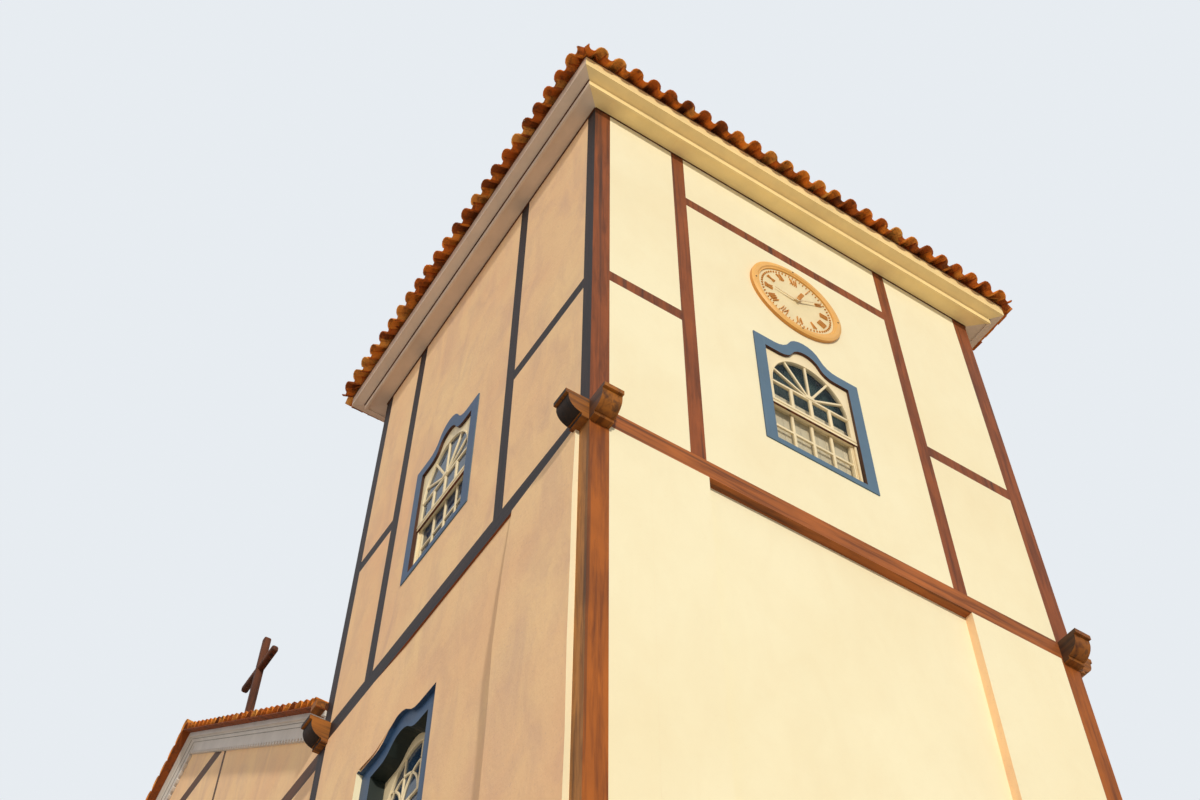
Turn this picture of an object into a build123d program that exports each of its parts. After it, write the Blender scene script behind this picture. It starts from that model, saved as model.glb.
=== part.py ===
from build123d import *
import os
from collections import namedtuple
from math import asin, atan, cos, radians, sin

# A Brazilian colonial church: two half-timbered towers, a gabled front between
# them and a nave behind. Millimetres, +Z up, the front looks along -Y, the
# origin is at ground level under the middle of the whole building.

# Plan of a tower. The right tower's outer face looks along +X.
FACADE_HALF_WIDTH = 10270      # middle of the front to a tower's outer face
TOWER_WIDTH = 4930             # across the front
TOWER_DEPTH = 5400             # front to rear
NAVE_LENGTH = 22000            # tower front to the outside of the rear wall
GABLE_SETBACK = 100            # gable wall behind the towers' front
SEAM = 0.3                     # paper-thin joint between pieces that bear on each other

# Heights
BEAM_TOP = 11700               # top of the main beams
BEAM_HEIGHT = 215
BRACKET_HEIGHT = 262           # carved beam ends hang lower than the beams
BRACKET_REACH = 230            # beam ends past the tower's corner
BRACKET_NOSE = 48              # square nose over the quarter round
BRACKET_NECK = 75
BRACKET_QUIRK = 28             # nose in front of the quarter round
BRACKET_ROUND = 150            # radius of the quarter round
BRACKET_ROUND_END = (145, 226)
BRACKET_STEP = 158
UPPER_HEIGHT = 5740            # main beam to the top of the tower's wall
CHOIR_FLOOR_TOP = 7800
FLOOR_THICKNESS = 140
GROUND_FLOOR = 120

# Walls
LOWER_WALL = 600               # rammed earth, up to the main beams
NAVE_WALL = 700
GABLE_WALL = 300
SIDE_RECESS = 90               # middle of a tower's side below the beam
FRONT_RECESS = 20              # middle of a tower's front below the beam
UPPER_WALL = 195               # half-timbered, as thick as its posts

# Timber frame of the towers, measured along each face
OUTER_POST = 150               # corner posts, width seen on the front
INNER_POST = 165
FRONT_POST = 195               # corner posts, width seen on the side
REAR_POST = 214
RAIL_HEIGHT = 165
SIDE_BAYS = [(1020, 1185), (3935, 4100)]       # posts, from the front corner
FRONT_BAYS = [(1420, 1585), (3860, 4030)]      # posts, from the outer corner
SIDE_RAILS = (2027, 2036)      # undersides of the short rails above the beam
FRONT_RAILS = (1925, 2181)
HIGH_RAIL = 4413               # rail over the clock
SIDE_RECESS_SPAN = (1200, 4100)
FRONT_RECESS_SPAN = (1227, 3788)

# Windows
OPENING_WIDTH = 1050
SURROUND_BOARD = 135
SILL_BOARD = 70
WINDOW_SILL = 838              # foot of the surround above the main beam
WINDOW_SHOULDER = 1717         # foot of the surround to its flat shoulders
HEAD_RISE = 268                # raised curve over the shoulders
HEAD_RUN = 400
INNER_RISE = 0.86              # the opening's curve against the frame's outer curve
HEAD_BOARD = 143
LOWER_HEAD_RISE = 165
SASH_THICKNESS = 40
STILE = 60
SASH_SETBACK = 20
FAN_BASE = 1062                # foot of the surround to the fanlight's centre
FAN_HEIGHT = 545
FAN_FLATS = 12                 # facets of the fanlight's half ellipse
HEAD_FLAT = radians(16)        # turn of one facet of a window's curved head
MEETING_RAIL = (682, 762)
GLASS_THICKNESS = 4
SHUTTER_THICKNESS = 24
SIDE_WINDOW = 2564             # from the front corner to a window's middle
FRONT_WINDOW = 2828            # from the outer corner to a window's middle
LOWER_WINDOW = 3115
LOWER_WINDOW_FOOT = -2975      # foot of the lower windows from the main beam
LOWER_BOARD = 185
LOWER_INSET = 40
LOWER_SASH_SETBACK = 190
SHUTTER_SETBACK = 130
SURROUND_PROUD = 12            # the upper windows' boards stand this far off the plaster

# Cornice of the towers, each profile as reach from the wall and height over its foot
CORNICE_REACH = 352
CORNICE_HEIGHT = 306
CORNICE_PROFILE = [(0, 33), (190, 16), (190, 0), (220, 0), (220, 100), (344, 123)]
EAVE_REACH = 460
TOWER_ROOF_RISE = 1900
ROOF_THICKNESS = 170

# Gable between the towers
ROOF_SLOPE = 0.672             # rise over run, both slopes
GABLE_FOOT = 298               # roof's underside over the main beam where it meets a tower
GABLE_CORNICE_HEIGHT = 240
GABLE_CORNICE_REACH = 120
GABLE_PROFILE = [(0, 0), (32, 0), (32, 132), (46, 140), (62, 166), (86, 182)]
VERGE_REACH = 240
NAVE_EAVE_REACH = 450
NAVE_CORNICE_REACH = 330
NAVE_CORNICE_PROFILE = [(0, 0), (60, 0), (60, 110), (200, 150), (200, 200)]
NAVE_CORNICE_HEIGHT = 260
COLLAR_LEVEL = 2600
COLLAR_HEIGHT = 210
GABLE_POST_OFFSET = 1580
GABLE_POST_WIDTH = 80
FACADE_WINDOW = 2500           # middle of the front to a choir window
NAVE_WINDOWS = (8600, 13200, 17800)

# Door
DOOR_WIDTH = 2300
DOOR_SHOULDER = 3900
DOOR_RISE = 420
DOOR_RUN = 800
DOOR_BOARD = 240
DOOR_THICKNESS = 70
DOOR_SETBACK = 160
LEAF_GAP = 3                   # between the two leaves

# Clock
CLOCK_HEIGHT = 3620            # dial's centre above the main beam
DIAL_RADIUS = 500
RING_RADIUS = 597
DIAL_THICKNESS = 18
RING_THICKNESS = 50
RING_STEP = 14                 # width of the ring's small mouldings
HOUR_LENGTH = 290
MINUTE_LENGTH = 400
HAND_THICKNESS = 6
ARBOR_RADIUS = 8
PIPE_RADIUS = 14
RUNNING_FIT = 0.05
HUB_RADIUS = 26
BOSS_RADIUS = 38
BOSS_HEIGHT = 26
SHAFT_START = 6                # arbor and pipe stop this far off the wall
HOUR_OFFSET = 38               # back of the hour hand off the wall
MINUTE_OFFSET = 50
HOUR_ANGLE = 275               # ten past nine
MINUTE_ANGLE = 60

# Cross on the ridge
CROSS_SETBACK = 710            # behind the towers' front
CROSS_RADIUS = 55
CROSS_TOP = 6060               # above the main beam
CROSS_ARM_LEVEL = 5440
CROSS_ARM_REACH = 545

os.makedirs("parts", exist_ok=True)

# Levels and lines that follow from the sizes above
BEAM_FOOT = BEAM_TOP - BEAM_HEIGHT
WALL_TOP = BEAM_TOP + UPPER_HEIGHT
CORNICE_FOOT = UPPER_HEIGHT - CORNICE_HEIGHT
TOWER_INNER = FACADE_HALF_WIDTH - TOWER_WIDTH
NAVE_OUTER = TOWER_INNER + NAVE_WALL
FRONT_Y = -(NAVE_LENGTH + VERGE_REACH - EAVE_REACH) / 2
REAR_Y = FRONT_Y + TOWER_DEPTH
NAVE_REAR_Y = FRONT_Y + NAVE_LENGTH
GABLE_Y = FRONT_Y + GABLE_SETBACK
PITCH = atan(ROOF_SLOPE)
GABLE_APEX = BEAM_TOP + GABLE_FOOT + ROOF_SLOPE * TOWER_INNER


def roof_underside(x):
    """Height of the nave roof's underside at a distance x from the ridge."""
    return GABLE_APEX - ROOF_SLOPE * abs(x)


def wall_plane(x, y, outward):
    """Upright plane of a wall: drawn to the right and up, outward towards the viewer."""
    right = Vector(0, 0, 1).cross(Vector(outward))
    return Plane(origin=(x, y, 0), x_dir=right, z_dir=outward)


# The four faces of the right tower, each drawn from its left end as seen from outside
FACES = {
    "front": wall_plane(TOWER_INNER, FRONT_Y, (0, -1, 0)),
    "outer": wall_plane(FACADE_HALF_WIDTH, FRONT_Y, (1, 0, 0)),
    "rear": wall_plane(FACADE_HALF_WIDTH, REAR_Y, (0, 1, 0)),
    "inner": wall_plane(TOWER_INNER, REAR_Y, (-1, 0, 0)),
}


def flipped(spans, length):
    """The same spans measured from a face's other end."""
    return [(length - end, length - start) for start, end in reversed(spans)]


FACE_LENGTH = {"front": TOWER_WIDTH, "outer": TOWER_DEPTH, "rear": TOWER_WIDTH, "inner": TOWER_DEPTH}
FACE_POSTS = {
    "front": flipped(FRONT_BAYS, TOWER_WIDTH),
    "outer": SIDE_BAYS,
    "rear": FRONT_BAYS,
    "inner": flipped(SIDE_BAYS, TOWER_DEPTH),
}
FACE_ENDS = {
    "front": (INNER_POST, OUTER_POST),
    "outer": (FRONT_POST, REAR_POST),
    "rear": (OUTER_POST, INNER_POST),
    "inner": (REAR_POST, FRONT_POST),
}
FACE_RAILS = {
    "front": (FRONT_RAILS[1], FRONT_RAILS[0]),
    "outer": SIDE_RAILS,
    "rear": FRONT_RAILS,
    "inner": (SIDE_RAILS[1], SIDE_RAILS[0]),
}
FACE_WINDOW = {
    "front": TOWER_WIDTH - FRONT_WINDOW,
    "outer": SIDE_WINDOW,
    "rear": FRONT_WINDOW,
    "inner": TOWER_DEPTH - SIDE_WINDOW,
}


def slab(plane, start, end, low, high, thickness, proud=0.0):
    """An upright slab of a wall or timber, drawn on the wall's face."""
    with BuildSketch(plane.offset(proud)) as face:
        with Locations(((start + end) / 2, (low + high) / 2)):
            Rectangle(end - start, high - low)
    extrude(face.sketch, amount=-thickness)


def block(low_corner, high_corner, mode=Mode.ADD):
    """An axis-aligned block between two corners."""
    size = [high - low for low, high in zip(low_corner, high_corner)]
    middle = [(high + low) / 2 for low, high in zip(low_corner, high_corner)]
    with Locations(tuple(middle)):
        Box(*size, mode=mode)


def reverse_curve(shoulder, rise, run):
    """Facets of two equal arcs, tangent to a flat shoulder and to the crown, from right to middle."""
    radius = (run**2 + rise**2) / (4 * rise)
    turn = asin(run / 2 / radius)
    flats = round(turn / HEAD_FLAT)
    arc = [(radius * sin(turn * flat / flats), radius * (1 - cos(turn * flat / flats)))
           for flat in range(flats + 1)]
    hollow = [(run - out, shoulder + up) for out, up in arc]
    round_part = [(out, shoulder + rise - up) for out, up in reversed(arc[:-1])]
    return hollow + round_part


def headed_face(plane, centre, half_width, foot, shoulder, rise, run):
    """A face on a wall with a bell-shaped head: flat shoulders and a reverse curve up to the crown."""
    right = [(half_width, foot), (half_width, shoulder)] + reverse_curve(shoulder, rise, run)
    left = [(-out, up) for out, up in reversed(right[:-1])]
    with BuildSketch(plane) as face:
        with BuildLine():
            Polyline(*[(centre + out, up) for out, up in right + left], close=True)
        make_face()
    return face.sketch


# A window: its wall's plane and middle, foot, board width, head's rise, frame's and sash's setback
Window = namedtuple("Window", "plane centre foot board rise inset setback")


def upper_window(plane, centre):
    """Window in the half-timbered storey, its frame standing flush in the wall."""
    return Window(plane, centre, BEAM_TOP + WINDOW_SILL, SURROUND_BOARD, HEAD_RISE, 0, SASH_SETBACK)


def lower_window(plane, centre):
    """Window in the thick walls, its frame and sash set back from the face."""
    return Window(plane, centre, BEAM_TOP + LOWER_WINDOW_FOOT, LOWER_BOARD, LOWER_HEAD_RISE,
                  LOWER_INSET, LOWER_SASH_SETBACK)


FACADE_PLANE = wall_plane(0, GABLE_Y, (0, -1, 0))
REAR_PLANE = wall_plane(0, NAVE_REAR_Y, (0, 1, 0))
SIDE_PLANE = wall_plane(NAVE_OUTER, FRONT_Y, (1, 0, 0))
TOWER_WINDOWS = [upper_window(FACES[name], FACE_WINDOW[name]) for name in FACES]
TOWER_LOWER_WINDOW = lower_window(FACES["front"].offset(-FRONT_RECESS), TOWER_WIDTH - LOWER_WINDOW)
FACADE_WINDOW_RIGHT = lower_window(FACADE_PLANE, FACADE_WINDOW)
REAR_WINDOW_LEFT = lower_window(REAR_PLANE, FACADE_WINDOW)
NAVE_SIDE_WINDOWS = [lower_window(SIDE_PLANE, y) for y in NAVE_WINDOWS]
DEEP_WINDOWS = [TOWER_LOWER_WINDOW, FACADE_WINDOW_RIGHT, REAR_WINDOW_LEFT] + NAVE_SIDE_WINDOWS


def outer_head(window, clearance=0.0):
    """The outer outline of a window's frame, grown by a clearance."""
    return headed_face(window.plane, window.centre, OPENING_WIDTH / 2 + window.board + clearance,
                       window.foot - clearance, window.foot + WINDOW_SHOULDER + clearance,
                       window.rise, HEAD_RUN)


def inner_head(window, low, margin=0.0):
    """The clear opening of a window's frame above a level, shrunk by a margin."""
    return headed_face(window.plane, window.centre, OPENING_WIDTH / 2 - margin, window.foot + low,
                       window.foot + WINDOW_SHOULDER - HEAD_BOARD - margin, window.rise * INNER_RISE,
                       HEAD_RUN * INNER_RISE)


def window_hole(window):
    """The hole a window's frame stands in, cut right through its wall."""
    extrude(outer_head(window, SEAM), amount=NAVE_WALL + 10, both=True, mode=Mode.SUBTRACT)


def save(part, name):
    """Label a finished piece and write its file."""
    part.label = name
    export_step(part, f"parts/{name}.step")


def save_pair(builder, name):
    """Write a right-hand piece and its mirror image on the left."""
    save(builder.part, f"right_{name}")
    with BuildPart() as left:
        mirror(builder.part, about=Plane.YZ)
    save(left.part, f"left_{name}")


def save_both_sides(builder, name):
    """Write a piece that stands on both sides of the middle as one node."""
    with BuildPart() as both:
        add(builder.part)
        mirror(builder.part, about=Plane.YZ)
    save(both.part, name)


# Towers: rammed-earth walls up to the main beams

def lower_wall(name):
    """One lower wall of the right tower, with its shallow recess and its posts' notches."""
    length = FACE_LENGTH[name]
    inset = 0 if name in ("front", "rear") else LOWER_WALL + SEAM
    slab(FACES[name], inset, length - inset, 0, BEAM_FOOT - SEAM, LOWER_WALL)


def recess(name):
    """The wide shallow recess of a lower wall, from the ground to the main beam."""
    spans = {"front": flipped([FRONT_RECESS_SPAN], TOWER_WIDTH)[0], "rear": FRONT_RECESS_SPAN,
             "outer": SIDE_RECESS_SPAN, "inner": flipped([SIDE_RECESS_SPAN], TOWER_DEPTH)[0]}
    depth = FRONT_RECESS if name in ("front", "rear") else SIDE_RECESS
    start, end = spans[name]
    with BuildSketch(FACES[name]) as face:
        with Locations(((start + end) / 2, BEAM_FOOT / 2)):
            Rectangle(end - start, BEAM_FOOT)
    extrude(face.sketch, amount=-depth, mode=Mode.SUBTRACT)


def post_notches():
    """Corner notches that the lower corner posts stand in."""
    for x, width in ((FACADE_HALF_WIDTH, -OUTER_POST), (TOWER_INNER, INNER_POST)):
        for y, depth in ((FRONT_Y, FRONT_POST), (REAR_Y, -REAR_POST)):
            far_x, far_y = x + width, y + depth
            seam_x, seam_y = SEAM * (1 if width > 0 else -1), SEAM * (1 if depth > 0 else -1)
            block((min(x, far_x + seam_x), min(y, far_y + seam_y), 0),
                  (max(x, far_x + seam_x), max(y, far_y + seam_y), BEAM_TOP), mode=Mode.SUBTRACT)


for wall_name in FACES:
    with BuildPart() as tower_wall:
        lower_wall(wall_name)
        recess(wall_name)
        post_notches()
        if wall_name == "front":
            window_hole(TOWER_LOWER_WINDOW)
    save_pair(tower_wall, f"tower_{wall_name}_wall")

# Towers: corner posts, in two lengths, above and below the main beams
with BuildPart() as corner_posts:
    for x, width in ((FACADE_HALF_WIDTH, -OUTER_POST), (TOWER_INNER, INNER_POST)):
        for y, depth in ((FRONT_Y, FRONT_POST), (REAR_Y, -REAR_POST)):
            low_x, high_x = sorted((x, x + width))
            low_y, high_y = sorted((y, y + depth))
            block((low_x, low_y, 0), (high_x, high_y, BEAM_FOOT - SEAM))
            block((low_x, low_y, BEAM_TOP + SEAM), (high_x, high_y, WALL_TOP))
save_pair(corner_posts, "tower_corner_posts")

# Towers: posts and rails of the timber frame above the main beams
with BuildPart() as tower_frame:
    for name, plane in FACES.items():
        length = FACE_LENGTH[name]
        left_end, right_end = FACE_ENDS[name]
        posts = FACE_POSTS[name]
        for start, end in posts:
            slab(plane, start, end, BEAM_TOP + SEAM, WALL_TOP, UPPER_WALL)
        rails = [(left_end, posts[0][0], FACE_RAILS[name][0]),
                 (posts[1][1], length - right_end, FACE_RAILS[name][1])]
        if name in ("outer", "inner"):
            rails.append((posts[0][1], posts[1][0], HIGH_RAIL))
        for start, end, foot in rails:
            slab(plane, start + SEAM, end - SEAM, BEAM_TOP + foot, BEAM_TOP + foot + RAIL_HEIGHT, UPPER_WALL)
save_pair(tower_frame, "tower_frame")

# Towers: plastered panels between the timbers
with BuildPart() as tower_panels:
    for name, plane in FACES.items():
        length = FACE_LENGTH[name]
        left_end, right_end = FACE_ENDS[name]
        posts = FACE_POSTS[name]
        high = [HIGH_RAIL] if name in ("outer", "inner") else []
        bays = [(left_end, posts[0][0], [FACE_RAILS[name][0]]),
                (posts[0][1], posts[1][0], high),
                (posts[1][1], length - right_end, [FACE_RAILS[name][1]])]
        for start, end, rails in bays:
            lows = [BEAM_TOP] + [BEAM_TOP + rail + RAIL_HEIGHT for rail in rails]
            highs = [BEAM_TOP + rail for rail in rails] + [WALL_TOP]
            for low, high_edge in zip(lows, highs):
                slab(plane, start + SEAM, end - SEAM, low + SEAM, high_edge - SEAM, UPPER_WALL - SEAM)
    for window in TOWER_WINDOWS:
        window_hole(window)
save_pair(tower_panels, "tower_panels")


# Towers: main beams, halved over each other, with carved ends past the corners
def beam_end_outline(tip):
    """Carved end seen from the side, from the wall's corner out to the tip along X."""
    with BuildLine() as outline:
        neck = tip - BRACKET_QUIRK
        nose = Polyline((0, 0), (tip, 0), (tip, -BRACKET_NOSE), (neck, -BRACKET_NOSE), (neck, -BRACKET_NECK))
        round_end = (tip - BRACKET_ROUND_END[0], -BRACKET_ROUND_END[1])
        RadiusArc(nose @ 1, round_end, BRACKET_ROUND)
        step = tip - BRACKET_STEP
        Polyline(round_end, (step, -BRACKET_ROUND_END[1]), (step, -BRACKET_HEIGHT), (0, -BRACKET_HEIGHT), (0, 0))
    return outline.line


def beam(name, carved_left, carved_right):
    """A main beam on one face, its ends carved where they run past the tower's corner."""
    plane, length = FACES[name], FACE_LENGTH[name]
    slab(plane, 0, length, BEAM_FOOT, BEAM_TOP, UPPER_WALL)
    line = beam_end_outline(BRACKET_REACH)
    with BuildSketch(plane) as ends:
        end = make_face(line.edges(), mode=Mode.PRIVATE)
        with Locations((0, BEAM_TOP)):
            if carved_right:
                add(end.moved(Location((length, 0, 0))))
            if carved_left:
                add(mirror(end, about=Plane.YZ, mode=Mode.PRIVATE))
    extrude(ends.sketch, amount=-UPPER_WALL)


def halve_corners(middle):
    """Cut the halvings at the four corners, at the height of the half that is taken away."""
    for x in (FACADE_HALF_WIDTH - UPPER_WALL / 2, TOWER_INNER + UPPER_WALL / 2):
        for y in (FRONT_Y + UPPER_WALL / 2, REAR_Y - UPPER_WALL / 2):
            with Locations((x, y, middle)):
                Box(UPPER_WALL + 2 * SEAM, UPPER_WALL + 2 * SEAM, BEAM_HEIGHT / 2 + SEAM, mode=Mode.SUBTRACT)


with BuildPart() as cross_beams:
    beam("front", False, True)
    beam("rear", True, False)
    halve_corners(BEAM_TOP - BEAM_HEIGHT / 4)
save_pair(cross_beams, "tower_cross_beams")

with BuildPart() as side_beams:
    beam("outer", True, True)
    beam("inner", False, True)
    halve_corners(BEAM_FOOT + BEAM_HEIGHT / 4)
save_pair(side_beams, "tower_side_beams")


# Mouldings
def moulding_run(profile, start, direction, outward, length, cuts):
    """A straight length of moulding, trimmed by planes that keep the side they face."""
    with BuildPart() as run:
        with BuildSketch(Plane(origin=start, x_dir=outward, z_dir=direction)) as section:
            with BuildLine():
                Polyline(*profile, close=True)
            make_face()
        extrude(amount=length)
        for cut in cuts:
            split(bisect_by=cut, keep=Keep.TOP)
    return run.part


def profile_over(foot, profile, reach, top):
    """A moulding's section: its profile over a foot, closed along the wall and under the roof."""
    section = [(max(out, SEAM), foot + up) for out, up in profile]
    return section + [(reach, section[-1][1]), (reach, top), (SEAM, top)]


def mitred_cornice(name):
    """The cornice's length on one face of the tower, mitred at both ends."""
    plane = FACES[name]
    length = FACE_LENGTH[name]
    outward, right = plane.z_dir, plane.x_dir
    far_end = plane.origin + right * (length + CORNICE_REACH) + Vector(0, 0, BEAM_TOP)
    left_corner = plane.origin + right * (SEAM / 2)
    right_corner = plane.origin + right * (length - SEAM / 2)
    cuts = [Plane(origin=left_corner, z_dir=right + outward),
            Plane(origin=right_corner, z_dir=outward - right)]
    section = profile_over(CORNICE_FOOT, CORNICE_PROFILE, CORNICE_REACH, UPPER_HEIGHT)
    return moulding_run(section, far_end, right * -1, outward, length + 2 * CORNICE_REACH, cuts)


with BuildPart() as tower_cornice:
    for name in FACES:
        add(mitred_cornice(name))
save_pair(tower_cornice, "tower_cornice")


# Towers: four tiled slopes meeting at a point, bedded on the cornice
def roof_slope(name, seam):
    """One slope of the tower's roof as a slab with vertical ends, cut back at both hips."""
    plane = FACES[name]
    length = FACE_LENGTH[name]
    half_depth = (TOWER_DEPTH if name in ("front", "rear") else TOWER_WIDTH) / 2
    slope = TOWER_ROOF_RISE / (half_depth + CORNICE_REACH)
    tip = -slope * (EAVE_REACH - CORNICE_REACH)
    vertical = ROOF_THICKNESS / cos(PITCH)
    section = [(EAVE_REACH, WALL_TOP + tip + seam), (-half_depth, WALL_TOP + TOWER_ROOF_RISE + seam),
               (-half_depth, WALL_TOP + TOWER_ROOF_RISE + vertical), (EAVE_REACH, WALL_TOP + tip + vertical)]
    bed = [(CORNICE_REACH, WALL_TOP + seam), (-UPPER_WALL, WALL_TOP + seam),
           (-UPPER_WALL, WALL_TOP + slope * (CORNICE_REACH + UPPER_WALL))]
    outward, right = plane.z_dir, plane.x_dir
    middle = plane.origin + right * (length / 2)
    apex = middle - outward * half_depth
    corner_right = right * (length / 2 + CORNICE_REACH) + outward * (half_depth + CORNICE_REACH)
    corner_left = right * (-length / 2 - CORNICE_REACH) + outward * (half_depth + CORNICE_REACH)
    up = Vector(0, 0, 1)
    cuts = [Plane(origin=apex + outward * seam, z_dir=corner_right.cross(up)),
            Plane(origin=apex + outward * seam, z_dir=up.cross(corner_left))]
    start = middle + right * (length / 2 + EAVE_REACH)
    for profile in (section, bed):
        add(moulding_run(profile, start, right * -1, outward, length + 2 * EAVE_REACH, cuts))


with BuildPart() as tower_roof:
    for name in FACES:
        roof_slope(name, SEAM)
save_pair(tower_roof, "tower_roof")

# Towers: ground, choir and belfry floors
with BuildPart() as tower_floors:
    inside = (TOWER_INNER + LOWER_WALL + SEAM, FRONT_Y + LOWER_WALL + SEAM,
              FACADE_HALF_WIDTH - LOWER_WALL - SEAM, REAR_Y - LOWER_WALL - SEAM)
    block((inside[0], inside[1], 0), (inside[2], inside[3], GROUND_FLOOR))
    block((inside[0], inside[1], CHOIR_FLOOR_TOP - FLOOR_THICKNESS), (inside[2], inside[3], CHOIR_FLOOR_TOP))
    block((TOWER_INNER + UPPER_WALL + SEAM, FRONT_Y + UPPER_WALL + SEAM, BEAM_FOOT),
          (FACADE_HALF_WIDTH - UPPER_WALL - SEAM, REAR_Y - UPPER_WALL - SEAM, BEAM_FOOT + FLOOR_THICKNESS))
save_both_sides(tower_floors, "tower_floors")


# Windows
def surround(window, depth):
    """Frame of four boards with the bell-shaped head, as deep as its wall needs."""
    front = SURROUND_PROUD if window.inset == 0 else -window.inset
    with BuildPart() as frame:
        extrude(outer_head(window), amount=front)
        extrude(outer_head(window), amount=-depth)
        if front < 0:
            extrude(outer_head(window), amount=front, mode=Mode.SUBTRACT)
        extrude(inner_head(window, SILL_BOARD), amount=2 * NAVE_WALL, both=True, mode=Mode.SUBTRACT)
    return frame.part


def upper_sash(window):
    """Fixed upper sash with its elliptical fanlight."""
    plane = window.plane.offset(-window.setback)
    placed = window._replace(plane=plane)
    with BuildPart() as sash:
        extrude(inner_head(placed, MEETING_RAIL[0], SEAM), amount=-SASH_THICKNESS)
        extrude(upper_light(placed), amount=-SASH_THICKNESS, mode=Mode.SUBTRACT)
    return sash.part


def upper_light(window, margin=0.0):
    """Glazed part of the upper sash: a row of lights under a fan of a stilted ellipse."""
    half = OPENING_WIDTH / 2 - STILE - margin
    low = MEETING_RAIL[1] + margin
    room = WINDOW_SHOULDER - HEAD_BOARD + window.rise * INNER_RISE - STILE - FAN_BASE
    height = min(FAN_HEIGHT, room) - margin
    turns = [radians(180) * flat / FAN_FLATS for flat in range(FAN_FLATS + 1)]
    fan = [(half * cos(turn), FAN_BASE + height * sin(turn)) for turn in turns]
    outline = [(-half, low), (half, low)] + fan
    with BuildSketch(window.plane) as light:
        with BuildLine():
            Polyline(*[(window.centre + out, window.foot + up) for out, up in outline], close=True)
        make_face()
    return light.sketch


def lower_light(window, margin, low, high):
    """A rectangle inside the frame's opening."""
    with BuildSketch(window.plane) as light:
        with Locations((window.centre, window.foot + (low + high) / 2)):
            Rectangle(OPENING_WIDTH - 2 * margin, high - low - 2 * margin)
    return light.sketch


def lower_sash(window):
    """Sliding lower sash behind the upper one, drawn closed."""
    placed = window._replace(plane=window.plane.offset(-window.setback - SASH_THICKNESS - SEAM))
    low, high = SILL_BOARD, MEETING_RAIL[1]
    with BuildPart() as sash:
        extrude(lower_light(placed, SEAM, low, high), amount=-SASH_THICKNESS)
        extrude(lower_light(placed, STILE, low, high), amount=-SASH_THICKNESS, mode=Mode.SUBTRACT)
    return sash.part


def panes(window):
    """The glass of both sashes."""
    upper = window._replace(plane=window.plane.offset(-window.setback - SASH_THICKNESS / 2))
    lower = upper._replace(plane=upper.plane.offset(-SASH_THICKNESS - SEAM))
    with BuildPart() as glass:
        extrude(upper_light(upper, SEAM), amount=-GLASS_THICKNESS)
        extrude(lower_light(lower, STILE + SEAM, SILL_BOARD, MEETING_RAIL[1]), amount=-GLASS_THICKNESS)
    return glass.part


def shutter(window):
    """Closed boarded shutter behind the sashes."""
    placed = window._replace(plane=window.plane.offset(-SHUTTER_SETBACK))
    with BuildPart() as boards:
        extrude(inner_head(placed, SILL_BOARD + SEAM, SEAM), amount=-SHUTTER_THICKNESS)
    return boards.part


with BuildPart() as window_surrounds:
    for window in TOWER_WINDOWS:
        add(surround(window, UPPER_WALL))
    for window in DEEP_WINDOWS:
        add(surround(window, LOWER_SASH_SETBACK + 3 * SASH_THICKNESS))
save_both_sides(window_surrounds, "window_surrounds")

with BuildPart() as upper_sashes:
    for window in TOWER_WINDOWS + DEEP_WINDOWS:
        add(upper_sash(window))
save_both_sides(upper_sashes, "upper_sashes")

with BuildPart() as lower_sashes:
    for window in TOWER_WINDOWS + DEEP_WINDOWS:
        add(lower_sash(window))
save_both_sides(lower_sashes, "lower_sashes")

with BuildPart() as window_glass:
    for window in TOWER_WINDOWS + DEEP_WINDOWS:
        add(panes(window))
save_both_sides(window_glass, "window_glass")

with BuildPart() as window_shutters:
    for window in TOWER_WINDOWS:
        add(shutter(window))
save_both_sides(window_shutters, "window_shutters")


# Front between the towers
def door_head(half_width, clearance, thickness, depth, mode=Mode.ADD):
    """A slab with the door's bell-shaped head, its face a given depth behind the wall's face."""
    face = headed_face(FACADE_PLANE.offset(-depth), 0, half_width + clearance, -clearance,
                       DOOR_SHOULDER + half_width - DOOR_WIDTH / 2 + clearance, DOOR_RISE, DOOR_RUN)
    extrude(face, amount=-thickness, mode=mode)


DOOR_EDGE = DOOR_WIDTH / 2 + DOOR_BOARD + SEAM
with BuildPart() as facade_wall_side:
    slab(FACADE_PLANE, DOOR_EDGE, TOWER_INNER - SEAM, 0, BEAM_FOOT - SEAM, LOWER_WALL)
    window_hole(FACADE_WINDOW_RIGHT)
save_both_sides(facade_wall_side, "facade_walls")

with BuildPart() as facade_wall_over_door:
    slab(FACADE_PLANE, SEAM - DOOR_EDGE, DOOR_EDGE - SEAM, DOOR_SHOULDER, BEAM_FOOT - SEAM, LOWER_WALL)
    door_head(DOOR_WIDTH / 2 + DOOR_BOARD, SEAM, LOWER_WALL, 0, Mode.SUBTRACT)
save(facade_wall_over_door.part, "facade_wall_over_door")

with BuildPart() as door_surround:
    door_head(DOOR_WIDTH / 2 + DOOR_BOARD, 0, DOOR_SETBACK + DOOR_THICKNESS + 40, 0)
    door_head(DOOR_WIDTH / 2, 0, LOWER_WALL, 0, Mode.SUBTRACT)
save(door_surround.part, "door_surround")

with BuildPart() as main_door:
    door_head(DOOR_WIDTH / 2 - SEAM, 0, DOOR_THICKNESS, DOOR_SETBACK)
    with Locations((0, GABLE_Y + DOOR_SETBACK, 0)):
        Box(LEAF_GAP, 3 * DOOR_THICKNESS, 3 * DOOR_SHOULDER, mode=Mode.SUBTRACT)
save(main_door.part, "main_door")


# Gable
def gable_section(plane, half_width, foot, thickness):
    """A wall under both slopes of the roof, as wide as given."""
    with BuildSketch(plane) as face:
        with BuildLine():
            Polyline((-half_width, foot), (half_width, foot), (half_width, roof_underside(half_width) - SEAM),
                     (0, GABLE_APEX - SEAM), (-half_width, roof_underside(half_width) - SEAM), close=True)
        make_face()
    extrude(face.sketch, amount=-thickness)


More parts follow.
